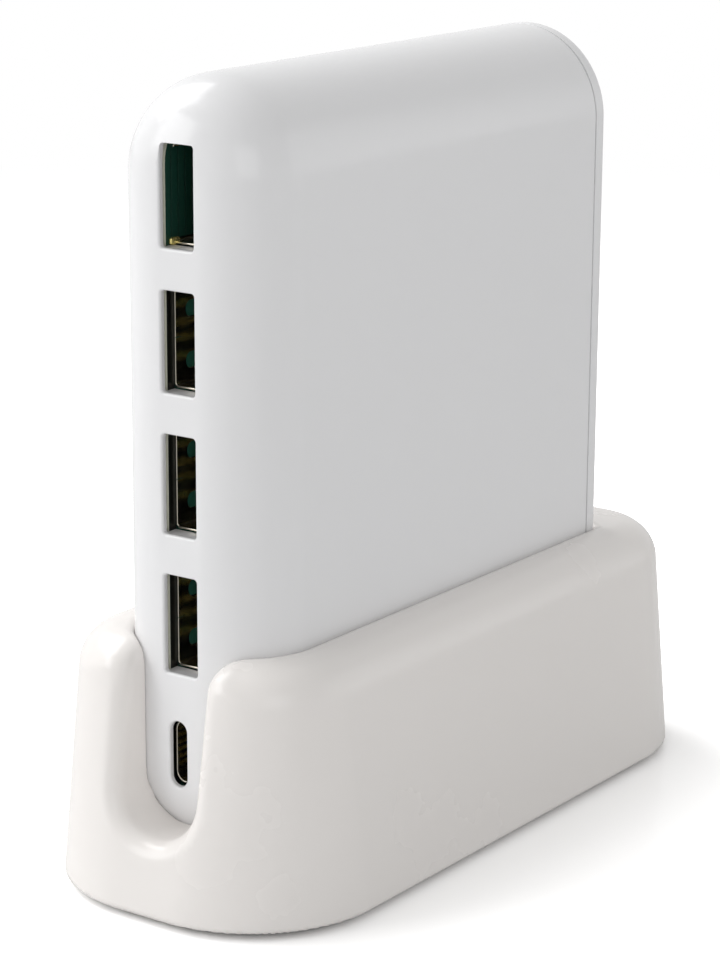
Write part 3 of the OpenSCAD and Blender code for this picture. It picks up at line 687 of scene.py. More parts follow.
def quarters(node):
    """Middle of the part of a CAD node in each quarter of the plan."""
    spots = [vertex.co for vertex in frame["nodes"][node].data.vertices]
    middles = []
    for sx in (-1, 1):
        for sy in (-1, 1):
            near = [p for p in spots if p.x * sx > 0 and p.y * sy > 0]
            low = Vector(min(p[i] for p in near) for i in range(3))
            high = Vector(max(p[i] for p in near) for i in range(3))
            middles.append((low + high) / 2)
    return middles


def cap_openings(piece):
    """Closes each flat opening of a swept shell with one face."""
    shape = bmesh.new()
    shape.from_mesh(piece.data)
    bmesh.ops.remove_doubles(shape, verts=shape.verts, dist=1e-7)
    bmesh.ops.holes_fill(shape, edges=[e for e in shape.edges if e.is_boundary])
    bmesh.ops.recalc_face_normals(shape, faces=shape.faces)
    shape.to_mesh(piece.data)
    shape.free()


# Case


def sweep_tree():
    """Sweeps the host's section round a stadium: two straights joined by half rounds."""
    tree, wires, close = geometry_tree(
        "Swept shell",
        {
            "Inner half width": "Float",
            "Straight": "Float",
            "Middle height": "Float",
            "Points round": "Int",
        },
    )
    circle = tree.add(
        "GeometryNodeCurvePrimitiveCircle",
        {"mode": "RADIUS"},
        {"Resolution": wires["Points round"], "Radius": wires["Inner half width"]},
    )
    half_step = math.pi / wires["Points round"].at_least(1)
    turned = tree.add(
        "GeometryNodeTransform",
        inputs={
            "Geometry": circle,
            "Rotation": tree.join(Z=half_step),
        },
    )
    spot = tree.split(tree.add("GeometryNodeInputPosition"))
    stretch = spot.other("Y").sign() * wires["Straight"] / 2
    path = tree.add(
        "GeometryNodeSetPosition", inputs={"Geometry": turned, "Offset": tree.join(Y=stretch)}
    )
    path = tree.add("GeometryNodeSetCurveNormal", {"mode": "Z_UP"}, {"Curve": path})
    section = tree.add("GeometryNodeMeshToCurve", inputs={"Mesh": wires["Geometry"]})
    shell = tree.add(
        "GeometryNodeCurveToMesh", inputs={"Curve": path, "Profile Curve": section}
    )
    upright = tree.add(
        "GeometryNodeTransform",
        inputs={
            "Geometry": shell,
            "Rotation": (math.pi / 2, 0, 0),
            "Translation": tree.join(Z=wires["Middle height"]),
        },
    )
    return close(upright)


def arc(centre, radius, start, end, steps):
    """Points of an arc, by angle in degrees."""
    return [
        (
            centre[0] + radius * math.cos(math.radians(start + (end - start) * i / steps)),
            centre[1] + radius * math.sin(math.radians(start + (end - start) * i / steps)),
        )
        for i in range(steps + 1)
    ]


def swept_shell(name, section, inner_half, sizes):
    """The section, in (outward offset, depth), swept round the case's outline."""
    low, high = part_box("case_body")
    half_width = high.x
    section = [p for i, p in enumerate(section) if i == 0 or math.dist(p, section[i - 1]) > 1e-7]
    return run_tree(
        name,
        bpy.data.node_groups.get("Swept shell") or sweep_tree(),
        [(offset, depth, 0) for offset, depth in section],
        {
            "Inner half width": inner_half,
            "Straight": high.z - low.z - 2 * half_width,
            "Middle height": (low.z + high.z) / 2,
            "Points round": sizes.round_points,
        },
        [(i, i + 1) for i in range(len(section) - 1)],
    )


def make_case_body(sizes):
    """Tub of the case: swept shell, flat socket face and five slots with soft mouths."""
    low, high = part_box("case_body")
    front, seam = low.y, high.y
    radius, wall, edge = sizes.edge_radius, sizes.side_wall, sizes.seam_edge
    inner_front = front + sizes.face_wall
    inner_radius = radius - wall
    outer_steps, inner_steps, edge_steps = 32, 20, 4
    section = (
        arc((0, front + radius), radius, -90, 0, outer_steps)
        + arc((radius - edge, seam - edge), edge, 0, 90, edge_steps)
        + [(inner_radius, seam)]
        + arc((0, inner_front + inner_radius), inner_radius, 0, -90, inner_steps)
    )
    piece = swept_shell("case_body_shell", section, high.x - radius, sizes)
    cap_openings(piece)
    small = sizes.small_slot_width
    usb_a = (sizes.slot_width, sizes.slot_height, sizes.slot_corner)
    slots = [(f"usb_a_shell_{n}", *usb_a) for n in USB_A_SOCKETS]
    slots.append(("usb_c_shell", small, sizes.small_slot_height, ROUND_END * small))
    cutters = []
    for node, *outline in slots:
        bottom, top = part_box(node)
        depth = (sizes.mouth_edge, front, inner_front)
        cutters.append(cutter(f"slot_{node}", (bottom + top) / 2, *outline, *depth))
    cut_away(piece, cutters)
    finish_piece(close_mesh(piece), "case_shell", "case_body")


def make_sills(sizes, sheet):
    """White sill that runs back from the bottom of each USB-A slot to its socket."""
    wall_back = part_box("case_body")[0].y + sizes.face_wall
    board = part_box("main_board")[1].x
    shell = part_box("usb_a_shell_1")[0]
    right, reach = sizes.slot_width / 2, shell.y - wall_back
    soft, sunk = 0.08 * MM, 0.1 * MM
    middle = Vector(((board + right) / 2, 0, -sheet.sill / 2))
    levels = [(0, -sunk), (0, reach - soft), (-soft, reach)]
    part = skin("sill", middle, right - board, sheet.sill, soft, levels)
    places = []
    for n in USB_A_SOCKETS:
        low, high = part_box(f"usb_a_shell_{n}")
        places.append((0, wall_back, (low.z + high.z - sizes.slot_height) / 2))
    sills = repeated("slot_sills", close_mesh(part), places)
    finish_piece(close_mesh(sills), "case_shell")


def make_rear_cover(sizes):
    """Cover behind the seam, with its skirt and the opening for the inlet."""
    low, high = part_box("rear_cover")
    rear, half = high.y, high.x
    inlet_low, inlet_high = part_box("inlet_moulding")
    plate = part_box("case_body")[1].y + sizes.seam
    edge, radius = sizes.seam_edge, sizes.rear_radius
    inner_half = 8 * MM
    reach = half - inner_half
    rear_steps, edge_steps = 10, 4
    skirt_out = reach - sizes.skirt_inset
    skirt_in = skirt_out - sizes.skirt_wall
    section = (
        [(0, rear)]
        + arc((reach - radius, rear - radius), radius, 90, 0, rear_steps)
        + arc((reach - edge, plate + edge), edge, 0, -90, edge_steps)
        + [(skirt_out, plate), (skirt_out, low.y), (skirt_in, low.y), (skirt_in, plate), (0, plate)]
    )
    piece = swept_shell("rear_cover_shell", section, inner_half, sizes)
    cap_openings(piece)
    outline = (sizes.inlet_width, sizes.inlet_height, sizes.inlet_corner)
    depth = (sizes.mouth_edge, rear, plate)
    cut_away(piece, [cutter("inlet_opening", (inlet_low + inlet_high) / 2, *outline, *depth)])
    finish_piece(close_mesh(piece), "case_shell", "rear_cover")


# Sockets


def side_cutter(name, centre, along_y, along_z, corner, levels):
    """Solid that cuts a rounded opening along X. Levels give (wider, x) from the centre."""
    tool = skin(name, Vector(), along_y, along_z, corner, levels)
    tool.data.transform(Matrix.Translation(centre) @ Matrix.Rotation(-math.pi / 2, 4, "Z"))
    return tool


def sheet_tube(node, corner, sizes):
    """Folded tube with the outline of a CAD shell and a softened edge at its mouth."""
    low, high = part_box(node)
    wall, steps = sizes.sheet, 3
    edge = 0.3 * wall
    mouth = arc((-edge, 0), edge, 0, -90, steps) + arc((edge - wall, 0), edge, -90, -180, steps)
    levels = [(0, high.y), *((x, y + edge + low.y) for x, y in mouth), (-wall, high.y)]
    width, height = high.x - low.x, high.z - low.z
    return skin(node + "_sheet", (low + high) / 2, width, height, corner, levels, tube=True)


def make_usb_a_shell(n, sizes):
    """Sheet-metal shell with two spring windows and a seam, or with one open side."""
    node = f"usb_a_shell_{n}"
    low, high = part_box(node)
    piece = sheet_tube(node, sizes.sheet_corner, sizes)
    middle = Vector((low.x, low.y, (low.z + high.z) / 2))
    bevel = 0.1 * MM
    through = [(0, -CUT_REACH), (0, CUT_REACH)]
    if n == 1:
        opening = high.z - low.z - 2 * sizes.sheet_corner
        tools = [
            side_cutter("open_side", middle, 2 * sizes.open_side, opening, bevel, through)
        ]
    else:
        seam, seam_length = 0.12 * MM, 2.4 * MM
        flared = [(0, -CUT_REACH), (0, sizes.sheet - bevel)]
        flared += [(bevel, sizes.sheet), (bevel, CUT_REACH)]
        back = sizes.window_front + sizes.window_length / 2
        tools = [
            side_cutter(
                f"window_{side}",
                middle + Vector((0, back, side * sizes.window_pitch / 2)),
                sizes.window_length,
                sizes.window_height,
                WINDOW_END * sizes.window_height,
                flared,
            )
            for side in (-1, 1)
        ]
        tools.append(side_cutter("seam", middle, seam_length, seam, 0.2 * seam, through))
    cut_away(piece, tools)
    finish_piece(close_mesh(piece), "socket_metal", node)


def finger_tree():
    """A sprung contact finger on each host point: a strip along Y with a rounded bump."""
    tree, wires, close = geometry_tree(
        "Contact fingers",
        {"Length": "Float", "Width": "Float", "Wall": "Float", "Rise": "Float"},
    )
    line = tree.add(
        "GeometryNodeCurvePrimitiveLine",
        inputs={"End": tree.join(Y=wires["Length"])},
    )
    line = tree.add("GeometryNodeResampleCurve", inputs={"Curve": line, "Count": 40})
    spot = tree.split(tree.add("GeometryNodeInputPosition"))
    along = spot.other("Y") / wires["Length"]
    bump_up = along.ramp(0.06, 0.3) * along.ramp(0.3, 0.58, 1.0, 0.0)
    path = tree.add(
        "GeometryNodeSetPosition",
        inputs={"Geometry": line, "Offset": tree.join(X=bump_up * wires["Rise"] * -1)},
    )
    path = tree.add("GeometryNodeSetCurveNormal", {"mode": "Z_UP"}, {"Curve": path})
    strip = tree.add(
        "GeometryNodeCurvePrimitiveQuadrilateral",
        {"mode": "RECTANGLE"},
        {"Width": wires["Wall"], "Height": wires["Width"]},
    )
    soft = tree.add(
        "GeometryNodeFilletCurve",
        {"mode": "POLY"},
        {"Curve": strip, "Radius": wires["Wall"] * 0.3, "Count": 2},
    )
    finger = tree.add(
        "GeometryNodeCurveToMesh", inputs={"Curve": path, "Profile Curve": soft, "Fill Caps": True}
    )
    fingers = tree.add(
        "GeometryNodeInstanceOnPoints", inputs={"Points": wires["Geometry"], "Instance": finger}
    )
    return close(fingers)


def make_solder_leg():
    """Blob of solder at the lowest contact of the top socket."""
    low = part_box("usb_a_contacts_1")[0]
    size = Vector((0.7, 2, 1)) * MM
    rounding, sunk, steps = 0.25 * MM, 0.35, 10
    levels = [
        (rounding * (math.sin(math.pi * i / steps) ** 0.5 - 1), low.y + size.y * i / steps)
        for i in range(steps + 1)
    ]
    centre = Vector((low.x + size.x / 2, 0, low.z - sunk * size.z))
    leg = skin("solder_leg", centre, size.x, size.z, rounding, levels)
    finish_piece(close_mesh(leg, 60), "gold")


def make_contacts(sizes):
    """Four gilt fingers in each USB-A socket."""
    group = finger_tree()
    groove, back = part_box("usb_a_contacts_2")
    depth = groove.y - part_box("usb_a_shell_2")[0].y
    for n in USB_A_SOCKETS:
        shell_low, shell_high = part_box(f"usb_a_shell_{n}")
        middle = (shell_low.z + shell_high.z) / 2
        x = groove.x + sizes.finger_wall / 2
        piece = run_tree(
            f"contact_fingers_{n}",
            group,
            [(x, shell_low.y + depth, middle + z * MM) for z in CONTACT_PLACES],
            {
                "Length": back.y - groove.y,
                "Width": sizes.finger_width,
                "Wall": sizes.finger_wall,
                "Rise": sizes.finger_rise,
            },
        )
        finish_piece(close_mesh(piece), "gold", f"usb_a_contacts_{n}")


# Feet and screws


def turned_tree():
    """Turns the host's section, in (radius, height), about the vertical axis."""
    tree, wires, close = geometry_tree("Turned part", {"Steps": "Int"})
    circle = tree.add(
        "GeometryNodeCurvePrimitiveCircle",
        {"mode": "RADIUS"},
        {"Resolution": wires["Steps"], "Radius": TURNING_CORE},
    )
    circle = tree.add("GeometryNodeSetCurveNormal", {"mode": "Z_UP"}, {"Curve": circle})
    section = tree.add("GeometryNodeMeshToCurve", inputs={"Mesh": wires["Geometry"]})
    return close(
        tree.add("GeometryNodeCurveToMesh", inputs={"Curve": circle, "Profile Curve": section})
    )


def repeat_tree():
    """A copy of one made part on each host point."""
    tree, wires, close = geometry_tree("Repeated part", {"Part": "Object"})
    part = tree.add("GeometryNodeObjectInfo", inputs={"Object": wires["Part"]}, output="Geometry")
    return close(
        tree.add(
            "GeometryNodeInstanceOnPoints", inputs={"Points": wires["Geometry"], "Instance": part}
        )
    )


def turned(name, section, steps=48):
    """A closed turned part from points of (radius, height) that start and end on its axis."""
    points = [(radius - TURNING_CORE, -height, 0) for radius, height in section]
    edges = [(i, i + 1) for i in range(len(points) - 1)]
    group = bpy.data.node_groups.get("Turned part") or turned_tree()
    return run_tree(name, group, points, {"Steps": steps}, edges)


def repeated(name, part, places):
    """The part at each place, as one piece."""
    group = bpy.data.node_groups.get("Repeated part") or repeat_tree()
    piece = run_tree(name, group, places, {"Part": part})
    bpy.data.meshes.remove(part.data)
    return piece


def make_screws(sizes):
    """Pan-head screws with a cross recess, seated in the base plate."""
    low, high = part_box("base_screws")
    height, radius = sizes.screw_head_height, sizes.screw_head / 2
    shank = sizes.screw_shank / 2
    edge, point = 0.45 * MM, 0.6 * MM
    length_up = high.z - low.z
    section = (
        [(0, 0)]
        + arc((radius - edge, edge), edge, -90, 0, 6)
        + [(radius, height), (shank, height), (shank, length_up - point)]
        + [(shank - point / 2, length_up), (0, length_up)]
    )
    screw = turned("screw", section)
    wing, slit, slit_corner, deep = 2.6 * MM, 0.55 * MM, 0.1 * MM, 0.8 * MM
    levels = [(0.05 * MM, -deep), (-0.08 * MM, deep)]
    tools = []
    for turn in (0, 90):
        tool = skin(f"recess_{turn}", Vector(), wing, slit, slit_corner, levels)
        tool.data.transform(
            Matrix.Rotation(math.radians(turn), 4, "Z") @ Matrix.Rotation(math.pi / 2, 4, "X")
        )
        tools.append(tool)
    close_mesh(screw)
    cut_away(screw, tools)
    places = [(spot.x, spot.y, low.z) for spot in quarters("base_screws")]
    finish_piece(close_mesh(repeated("cross_head_screws", screw, places)), "screw", "base_screws")


def make_feet(sizes):
    """Rubber feet with a rounded rolling edge and a shallow moulded ring."""
    boxes = [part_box(node) for node in FEET]
    low, high = boxes[0]
    radius, height, edge = (high.x - low.x) / 2, high.z - low.z, sizes.foot_edge
    ring, groove = 0.62 * radius, 0.12 * MM
    section = (
        [(0, groove), (ring - groove, groove), (ring, 0)]
        + arc((radius - edge, edge), edge, -90, 0, 6)
        + [(radius, height), (0, height)]
    )
    foot = turned("foot", section, 64)
    places = [((a.x + b.x) / 2, (a.y + b.y) / 2, a.z) for a, b in boxes]
    finish_piece(close_mesh(repeated("rubber_feet", foot, places)), "rubber", *FEET)


# Stand


# Lesser measures of the stand, in millimetres: how far behind the socket face the notch
# and its inner wall reach, the height that the posts start from, half the height over
# which the lips' radii become the rim's, and how far the grid goes past the stand.
NOTCH_REACH = 4.5
NOTCH_WALL_REACH = 8
POST_FOOT = 3.4
RIM_BLEND = 4
GRID_MARGIN = 1.5
# Points this near to the skin and the pocket, and this little part of the rim, are the
# notch's inner edge.
EDGE_SKIN = 0.45
EDGE_POCKET = 0.6
EDGE_RIM = 0.35
# Moves that settle the net's points on the surface, and the least squared slope for one.
SETTLING_MOVES = 4
LEAST_SLOPE = 0.25


def rounded_box(x, y, half_x, half_y, radius):
    """Distance to a rectangle with round corners, negative inside."""
    qx, qy = np.abs(x) - half_x + radius, np.abs(y) - half_y + radius
    return np.hypot(np.maximum(qx, 0), np.maximum(qy, 0)) + np.minimum(np.maximum(qx, qy), 0) - radius


def meet(a, b, radius):
    """Where two forms overlap, with the edge between them rounded."""
    corner = np.hypot(np.maximum(a + radius, 0), np.maximum(b + radius, 0))
    return np.minimum(-radius, np.maximum(a, b)) + corner


def smooth_step(value, low, high):
    t = np.clip((value - low) / (high - low), 0, 1)
    return t * t * (3 - 2 * t)


class StandForm:
    """The stand's form as a distance in millimetres, negative inside the plastic."""

    def __init__(self, sizes, case):
        for key in sizes.__annotations__:
            setattr(self, key, getattr(sizes, key) / MM)
        self.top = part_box("stand")[1].z / MM
        low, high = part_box("case_body")
        self.case_half = high.x / MM
        self.case_low = low.z / MM
        self.case_front = low.y / MM
        self.case_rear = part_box("rear_cover")[1].y / MM
        self.case_edge = case.edge_radius / MM
        self.case_rear_edge = case.rear_radius / MM
        self.bosses = [place / MM for place in quarters("base_screws")]

    def sides(self, x, y, z):
        """Distance to the tapered side wall."""
        share = (z - self.foot_gap) / (self.top - self.foot_gap)
        width = self.base_width + (self.rim_width - self.base_width) * share
        length = self.base_length + (self.rim_length - self.base_length) * share
        corner = self.base_corner + (self.rim_corner - self.base_corner) * share
        return rounded_box(x, y, width / 2, length / 2, corner)

    def pocket(self, x, y, z):
        """Distance to the pocket that the case stands in."""
        below = np.maximum(self.case_low + self.case_half - z, 0)
        across = np.hypot(x, below)
        half = self.case_half + self.pocket_fit
        front, rear = self.case_front - self.pocket_fit, self.case_rear + self.pocket_fit
        middle, reach = (front + rear) / 2, (rear - front) / 2
        return np.where(
            y < middle,
            rounded_box(across, y - middle, half, reach, self.case_edge + self.pocket_fit),
            rounded_box(across, y - middle, half, reach, self.case_rear_edge),
        )

    def notch(self, x, y, z):
        """Distance to the U-shaped notch in front of the lowest socket."""
        axis = self.foot_gap + self.notch_floor + self.notch_half
        across = np.hypot(x, np.minimum(z - axis, 0)) - self.notch_half
        return np.maximum(across, y - (self.case_front + NOTCH_REACH))

    def outside(self, p):
        """Distance to the form before its pocket and hollow, and its share of the rim."""
        x, y, z = p.T
        notch = self.notch(x, y, z)
        above = z - self.top
        rim = smooth_step(above + notch, -RIM_BLEND, RIM_BLEND)
        upper = meet(above, -notch, self.mouth_radius)
        radius = self.lip_radius + (self.rim_radius - self.lip_radius) * rim
        body = meet(self.sides(x, y, z), upper, radius)
        return meet(body, self.foot_gap - z, self.lower_radius), rim

    def distance(self, p):
        x, y, z = p.T
        sides = self.sides(x, y, z)
        pocket = self.pocket(x, y, z)
        notch = self.notch(x, y, z)
        above = z - self.top
        body, rim = self.outside(p)
        edge = self.inner_radius + (self.pocket_radius - self.inner_radius) * rim
        body = meet(body, -pocket, edge)

        hollow = meet(sides + self.wall, above + self.wall, self.rim_radius - self.wall)
        behind = y - self.case_front - NOTCH_WALL_REACH
        kept = np.minimum(pocket - self.pocket_wall, np.maximum(notch - self.wall, behind))
        for bx, by, _ in self.bosses:
            post = np.maximum(np.hypot(x - bx, y - by) - self.boss, POST_FOOT - z)
            kept = np.minimum(kept, post)
        return np.maximum(body, -np.maximum(hollow, -kept))

    def slope(self, p, form=None, step=0.02):
        """Gradient of the distance, or of another of the forms, at each point."""
        form = form or self.distance
        gradient = np.empty_like(p)
        for axis in range(3):
            shift = np.zeros(3)
            shift[axis] = step
            gradient[:, axis] = (form(p + shift) - form(p - shift)) / (2 * step)
        return gradient

    def normals(self, p):
        """Outward directions; the notch's inner edge takes those of the notch, to stay crisp."""
        normals = self.slope(p)
        body, rim = self.outside(p)
        near_pocket = np.abs(self.pocket(*p.T)) < EDGE_POCKET
        edge = (np.abs(body) < EDGE_SKIN) & (rim < EDGE_RIM) & near_pocket
        normals[edge] = self.slope(p[edge], lambda q: self.outside(q)[0])
        return normals / np.linalg.norm(normals, axis=1)[:, None]


def surface_net(form, low, high, cell):
    """Quads over the form's surface: one vertex in each grid cell that the surface crosses."""
    axes = [np.arange(low[i], high[i] + cell, cell) for i in range(3)]
    grid = np.stack(np.meshgrid(*axes, indexing="ij"), -1)
    values = form.distance(grid.reshape(-1, 3)).reshape(grid.shape[:3])
    solid = values < 0
    count = tuple(n - 1 for n in solid.shape)
    total, crossings = np.zeros((*count, 3)), np.zeros(count)
    steps = (0, 1)
    for axis in range(3):
        others = [i for i in range(3) if i != axis]
        for a in steps:
            for b in steps:
                start = [0, 0, 0]
                start[others[0]], start[others[1]] = a, b
                first = tuple(slice(start[i], start[i] + count[i]) for i in range(3))
                start[axis] = 1
                second = tuple(slice(start[i], start[i] + count[i]) for i in range(3))
                f, s = values[first], values[second]
                crossed = (f < 0) != (s < 0)
                share = np.where(crossed, f / np.where(crossed, f - s, 1), 0)
                point = grid[first] + share[..., None] * (grid[second] - grid[first])
                total += np.where(crossed[..., None], point, 0)
                crossings += crossed
    active = crossings > 0
    number = np.full(count, -1)
    number[active] = np.arange(active.sum())
    points = total[active] / crossings[active][:, None]
    quads = []
    for axis in range(3):
        b, c = (axis + 1) % 3, (axis + 2) % 3
        inner = [slice(1, -1)] * 3
        inner[axis] = slice(0, -1)
        ahead = list(inner)
        ahead[axis] = slice(1, None)
        here, there = solid[tuple(inner)], solid[tuple(ahead)]
        for flip, mask in ((False, here & ~there), (True, ~here & there)):
            at = np.argwhere(mask)
            at[:, b] += 1
            at[:, c] += 1
            corners = []
            for db, dc in ((1, 1), (0, 1), (0, 0), (1, 0)):
                cell_at = at.copy()
                cell_at[:, b] -= db
                cell_at[:, c] -= dc
                corners.append(number[tuple(cell_at.T)])
            quad = np.stack(corners, 1)
            quads.append(quad[:, ::-1] if flip else quad)
    return points, np.concatenate(quads)


def make_stand(sizes, case):
    """Stand with its tapered skin, rounded rim, pocket and notch, as one smooth moulding."""
    form = StandForm(sizes, case)
    low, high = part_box("stand")
    low = [v / MM - GRID_MARGIN for v in low]
    high = [v / MM + GRID_MARGIN for v in high]
    points, quads = surface_net(form, low, high, form.cell)
    for _ in range(SETTLING_MOVES):
        slope = form.slope(points)
        steepness = np.maximum((slope**2).sum(1), LEAST_SLOPE)
        points -= (form.distance(points) / steepness)[:, None] * slope
    mesh = bpy.data.meshes.new("stand_shell")
    mesh.from_pydata((points * MM).tolist(), [], quads.tolist())
    mesh.polygons.foreach_set("use_smooth", [True] * len(mesh.polygons))
    mesh.normals_split_custom_set_from_vertices(form.normals(points).tolist())
    piece = link("stand_shell", mesh)
    finish_piece(piece, "stand_shell", "stand")


# Studio


CAMERA_PLACE = (236.281 * MM, -338.763 * MM, 157.878 * MM)
CAMERA_AZIMUTH = 35.394
CAMERA_ELEVATION = 14.845
CAMERA_ROLL = 0.286
CAMERA_LENS = 112.924

# Name, place, side and power of each square softbox. They all point at one spot.
SOFTBOXES = (
    ("key_left", (-0.75, -0.75, 0.55), 0.7, 4.15),
    ("top_left", (-0.75, 0, 0.8), 0.7, 5.66),
    ("right_back", (0.8, 0.7, 0.35), 0.7, 0.83),
    ("front_right", (0.75, -0.75, 0.4), 0.6, 1.34),
    ("top", (0, 0, 0.95), 0.8, 0.14),
)
LIT_SPOT = (0, 0, 0.05)

# Distances over which the floor fades to white, and the range of distances, in halves of
# the stand, over which the camera sees it brighten, with the factors at its ends.
FLOOR_HALF = 4.0
FLOOR_FADE = (0.25, 0.6)
FLOOR_LIFT = (1.1, 2.0, 1.55, 2.1)


def aim(place_at, target, roll=0.0):
    """Rotation that looks from a place at a target."""
    look = (Vector(target) - Vector(place_at)).to_track_quat("-Z", "Y").to_matrix()
    return (look @ Matrix.Rotation(roll, 3, "Z")).to_euler()


def make_camera():
    camera = bpy.data.objects.new("camera", bpy.data.cameras.new("camera"))
    camera.data.lens = CAMERA_LENS
    camera.data.sensor_width = 36
    camera.data.clip_start, camera.data.clip_end = 0.01, 50
    azimuth, elevation = math.radians(CAMERA_AZIMUTH), math.radians(CAMERA_ELEVATION)
    back = Vector(
        (
            math.sin(azimuth) * math.cos(elevation),
            -math.cos(azimuth) * math.cos(elevation),
            math.sin(elevation),
        )
    )
    camera.location = CAMERA_PLACE
    camera.rotation_euler = aim(CAMERA_PLACE, Vector(CAMERA_PLACE) - back, math.radians(CAMERA_ROLL))
    bpy.context.scene.collection.objects.link(camera)
    bpy.context.scene.camera = camera


def make_softboxes():
    for name, at, side, power in SOFTBOXES:
        lamp = bpy.data.lights.new(name, "AREA")
        lamp.shape = "RECTANGLE"
        lamp.size = lamp.size_y = side
        lamp.energy = power
        box = bpy.data.objects.new(name, lamp)
        box.location = at
        box.rotation_euler = aim(at, LIT_SPOT)
        bpy.context.scene.collection.objects.link(box)


def make_surround(studio):
    """Even pale surround, which direct looks and reflections see as white."""
    world = bpy.data.worlds.new("surround")
    world.use_nodes = True
    world.node_tree.nodes.clear()
    tree = Tree(world.node_tree)
    ray = tree.add("ShaderNodeLightPath", output="Is Camera Ray")
    mirrored = ray.other("Is Glossy Ray").at_least(ray.other("Is Transmission Ray"))
    strength = studio.surround + mirrored * (studio.mirrored - studio.surround)
    strength = strength + ray * (1.0 - studio.surround)
    light = tree.add("ShaderNodeBackground", inputs={"Color": (1, 1, 1, 1), "Strength": strength})
    tree.add("ShaderNodeOutputWorld", inputs={"Surface": light})
    bpy.context.scene.world = world


def make_floor(studio):
    """White sweep: it keeps the charger's shadow and fades to plain white far off."""

    def build(tree):
        where = tree.add("ShaderNodeTexCoord", output="Object")
        ray = tree.add("ShaderNodeLightPath", output="Is Camera Ray")
        far = tree.measure(where).ramp(*FLOOR_FADE)
        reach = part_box("stand")[1]
        around = tree.measure(place(tree, (MM / reach.x, MM / reach.y, 0)))
        tone = shade(tree, studio.floor, noise(tree, place(tree), 0.02), 0.99, 1.01)
        lift = tree.mix(ray, tone, around.ramp(*FLOOR_LIFT))
        matt = tree.add("ShaderNodeBsdfDiffuse", inputs={"Color": lift})
        gloss = tree.add("ShaderNodeBsdfGlossy", inputs={"Roughness": 0.12})
        fresnel = tree.add("ShaderNodeFresnel", inputs={"IOR": 1.3})
        near = tree.add("ShaderNodeMixShader", inputs={0: fresnel, 1: matt, 2: gloss})
        white = tree.add("ShaderNodeEmission", inputs={"Strength": 1.0})
        return tree.add("ShaderNodeMixShader", inputs={0: far * ray, 1: near, 2: white})

    mesh = bpy.data.meshes.new("floor")
    corners = [(x * FLOOR_HALF, y * FLOOR_HALF, 0) for x, y in ((-1, -1), (1, -1), (1, 1), (-1, 1))]
    mesh.from_pydata(corners, [], [(0, 1, 2, 3)])
    mesh.materials.append(new_material("white_floor", build))
    link("floor", mesh)


# Add-on


class CHARGER_OT_finishes(Operator):
    """Make every finish and put it on the model's own solids"""

    bl_idname = "charger.finishes"
    bl_label = "Finishes"

    def execute(self, context):
        FINISHES.update(make_finishes(context.scene.charger_finish))
        for node, entry in frame["nodes"].items():
            slot = SLOTS[node]
            entry.data.materials.clear()
            entry.data.materials.append(FINISHES[slot])
        return {"FINISHED"}


class CHARGER_OT_case(Operator):
    """Build the case's two shells with their slots and seam"""

    bl_idname = "charger.case"
    bl_label = "Case"

    def execute(self, context):
        make_case_body(context.scene.charger_case)
        make_sills(context.scene.charger_case, context.scene.charger_sockets)
        make_rear_cover(context.scene.charger_case)
        return {"FINISHED"}


class CHARGER_OT_sockets(Operator):
    """Build the sheet-metal shells of the sockets and their gilt contacts"""

    bl_idname = "charger.sockets"
    bl_label = "Sockets"

    def execute(self, context):
        sizes = context.scene.charger_sockets
        for n in USB_A_SOCKETS:
            make_usb_a_shell(n, sizes)
        low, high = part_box("usb_c_shell")
        small = sheet_tube("usb_c_shell", ROUND_END * (high.x - low.x), sizes)
        finish_piece(close_mesh(small), "socket_metal", "usb_c_shell")
        make_contacts(sizes)
        make_solder_leg()
        return {"FINISHED"}


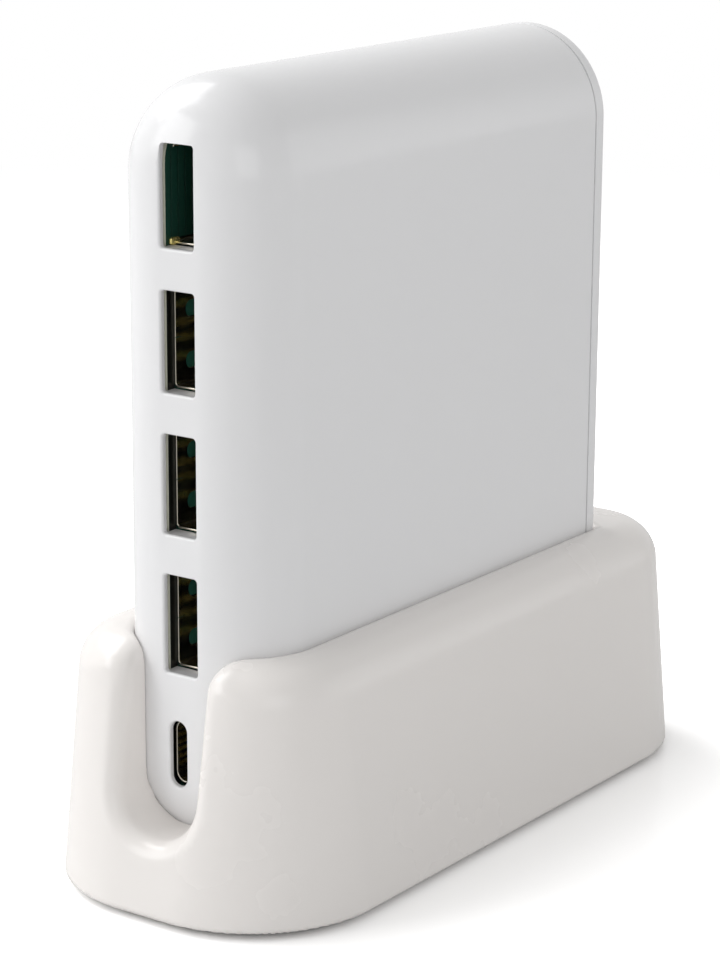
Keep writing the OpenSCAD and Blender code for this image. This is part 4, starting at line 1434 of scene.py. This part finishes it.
class CHARGER_OT_underside(Operator):
    """Build the screws and the rubber feet under the stand"""

    bl_idname = "charger.underside"
    bl_label = "Screws and feet"

    def execute(self, context):
        make_screws(context.scene.charger_sockets)
        make_feet(context.scene.charger_sockets)
        return {"FINISHED"}


class CHARGER_OT_stand(Operator):
    """Build the moulded stand"""

    bl_idname = "charger.stand"
    bl_label = "Stand"

    def execute(self, context):
        make_stand(context.scene.charger_stand, context.scene.charger_case)
        return {"FINISHED"}


class CHARGER_OT_studio(Operator):
    """Build the camera, the lights and the floor"""

    bl_idname = "charger.studio"
    bl_label = "Studio"

    def execute(self, context):
        make_camera()
        make_softboxes()
        make_surround(context.scene.charger_studio)
        make_floor(context.scene.charger_studio)
        context.scene.view_settings.view_transform = "Standard"
        return {"FINISHED"}


OPERATORS = (
    CHARGER_OT_finishes,
    CHARGER_OT_case,
    CHARGER_OT_sockets,
    CHARGER_OT_stand,
    CHARGER_OT_underside,
    CHARGER_OT_studio,
)
GROUPS = {
    "charger_case": ChargerCase,
    "charger_sockets": ChargerSockets,
    "charger_stand": ChargerStand,
    "charger_finish": ChargerFinish,
    "charger_studio": ChargerStudio,
}
FINISHES = {}
SLOTS = {part["node"]: part["material_slot"] for part in frame["record"]["subparts"]}


class CHARGER_PT_panel(Panel):
    """The charger's operators and sizes"""

    bl_label = "Charger"
    bl_idname = "CHARGER_PT_panel"
    bl_space_type = "VIEW_3D"
    bl_region_type = "UI"
    bl_category = "Charger"

    def draw(self, context):
        for operator in OPERATORS:
            self.layout.operator(operator.bl_idname)
        for name, group in GROUPS.items():
            column = self.layout.column()
            for key in group.__annotations__:
                column.prop(getattr(context.scene, name), key)


def register():
    for group in (*GROUPS.values(), *OPERATORS, CHARGER_PT_panel):
        bpy.utils.register_class(group)
    for name, group in GROUPS.items():
        setattr(bpy.types.Scene, name, PointerProperty(type=group))


def unregister():
    for name in GROUPS:
        delattr(bpy.types.Scene, name)
    for group in (CHARGER_PT_panel, *reversed(OPERATORS), *GROUPS.values()):
        bpy.utils.unregister_class(group)


def main():
    register()
    for operator in OPERATORS:
        group, name = operator.bl_idname.split(".")
        getattr(getattr(bpy.ops, group), name)()


if __name__ == "__main__":
    main()
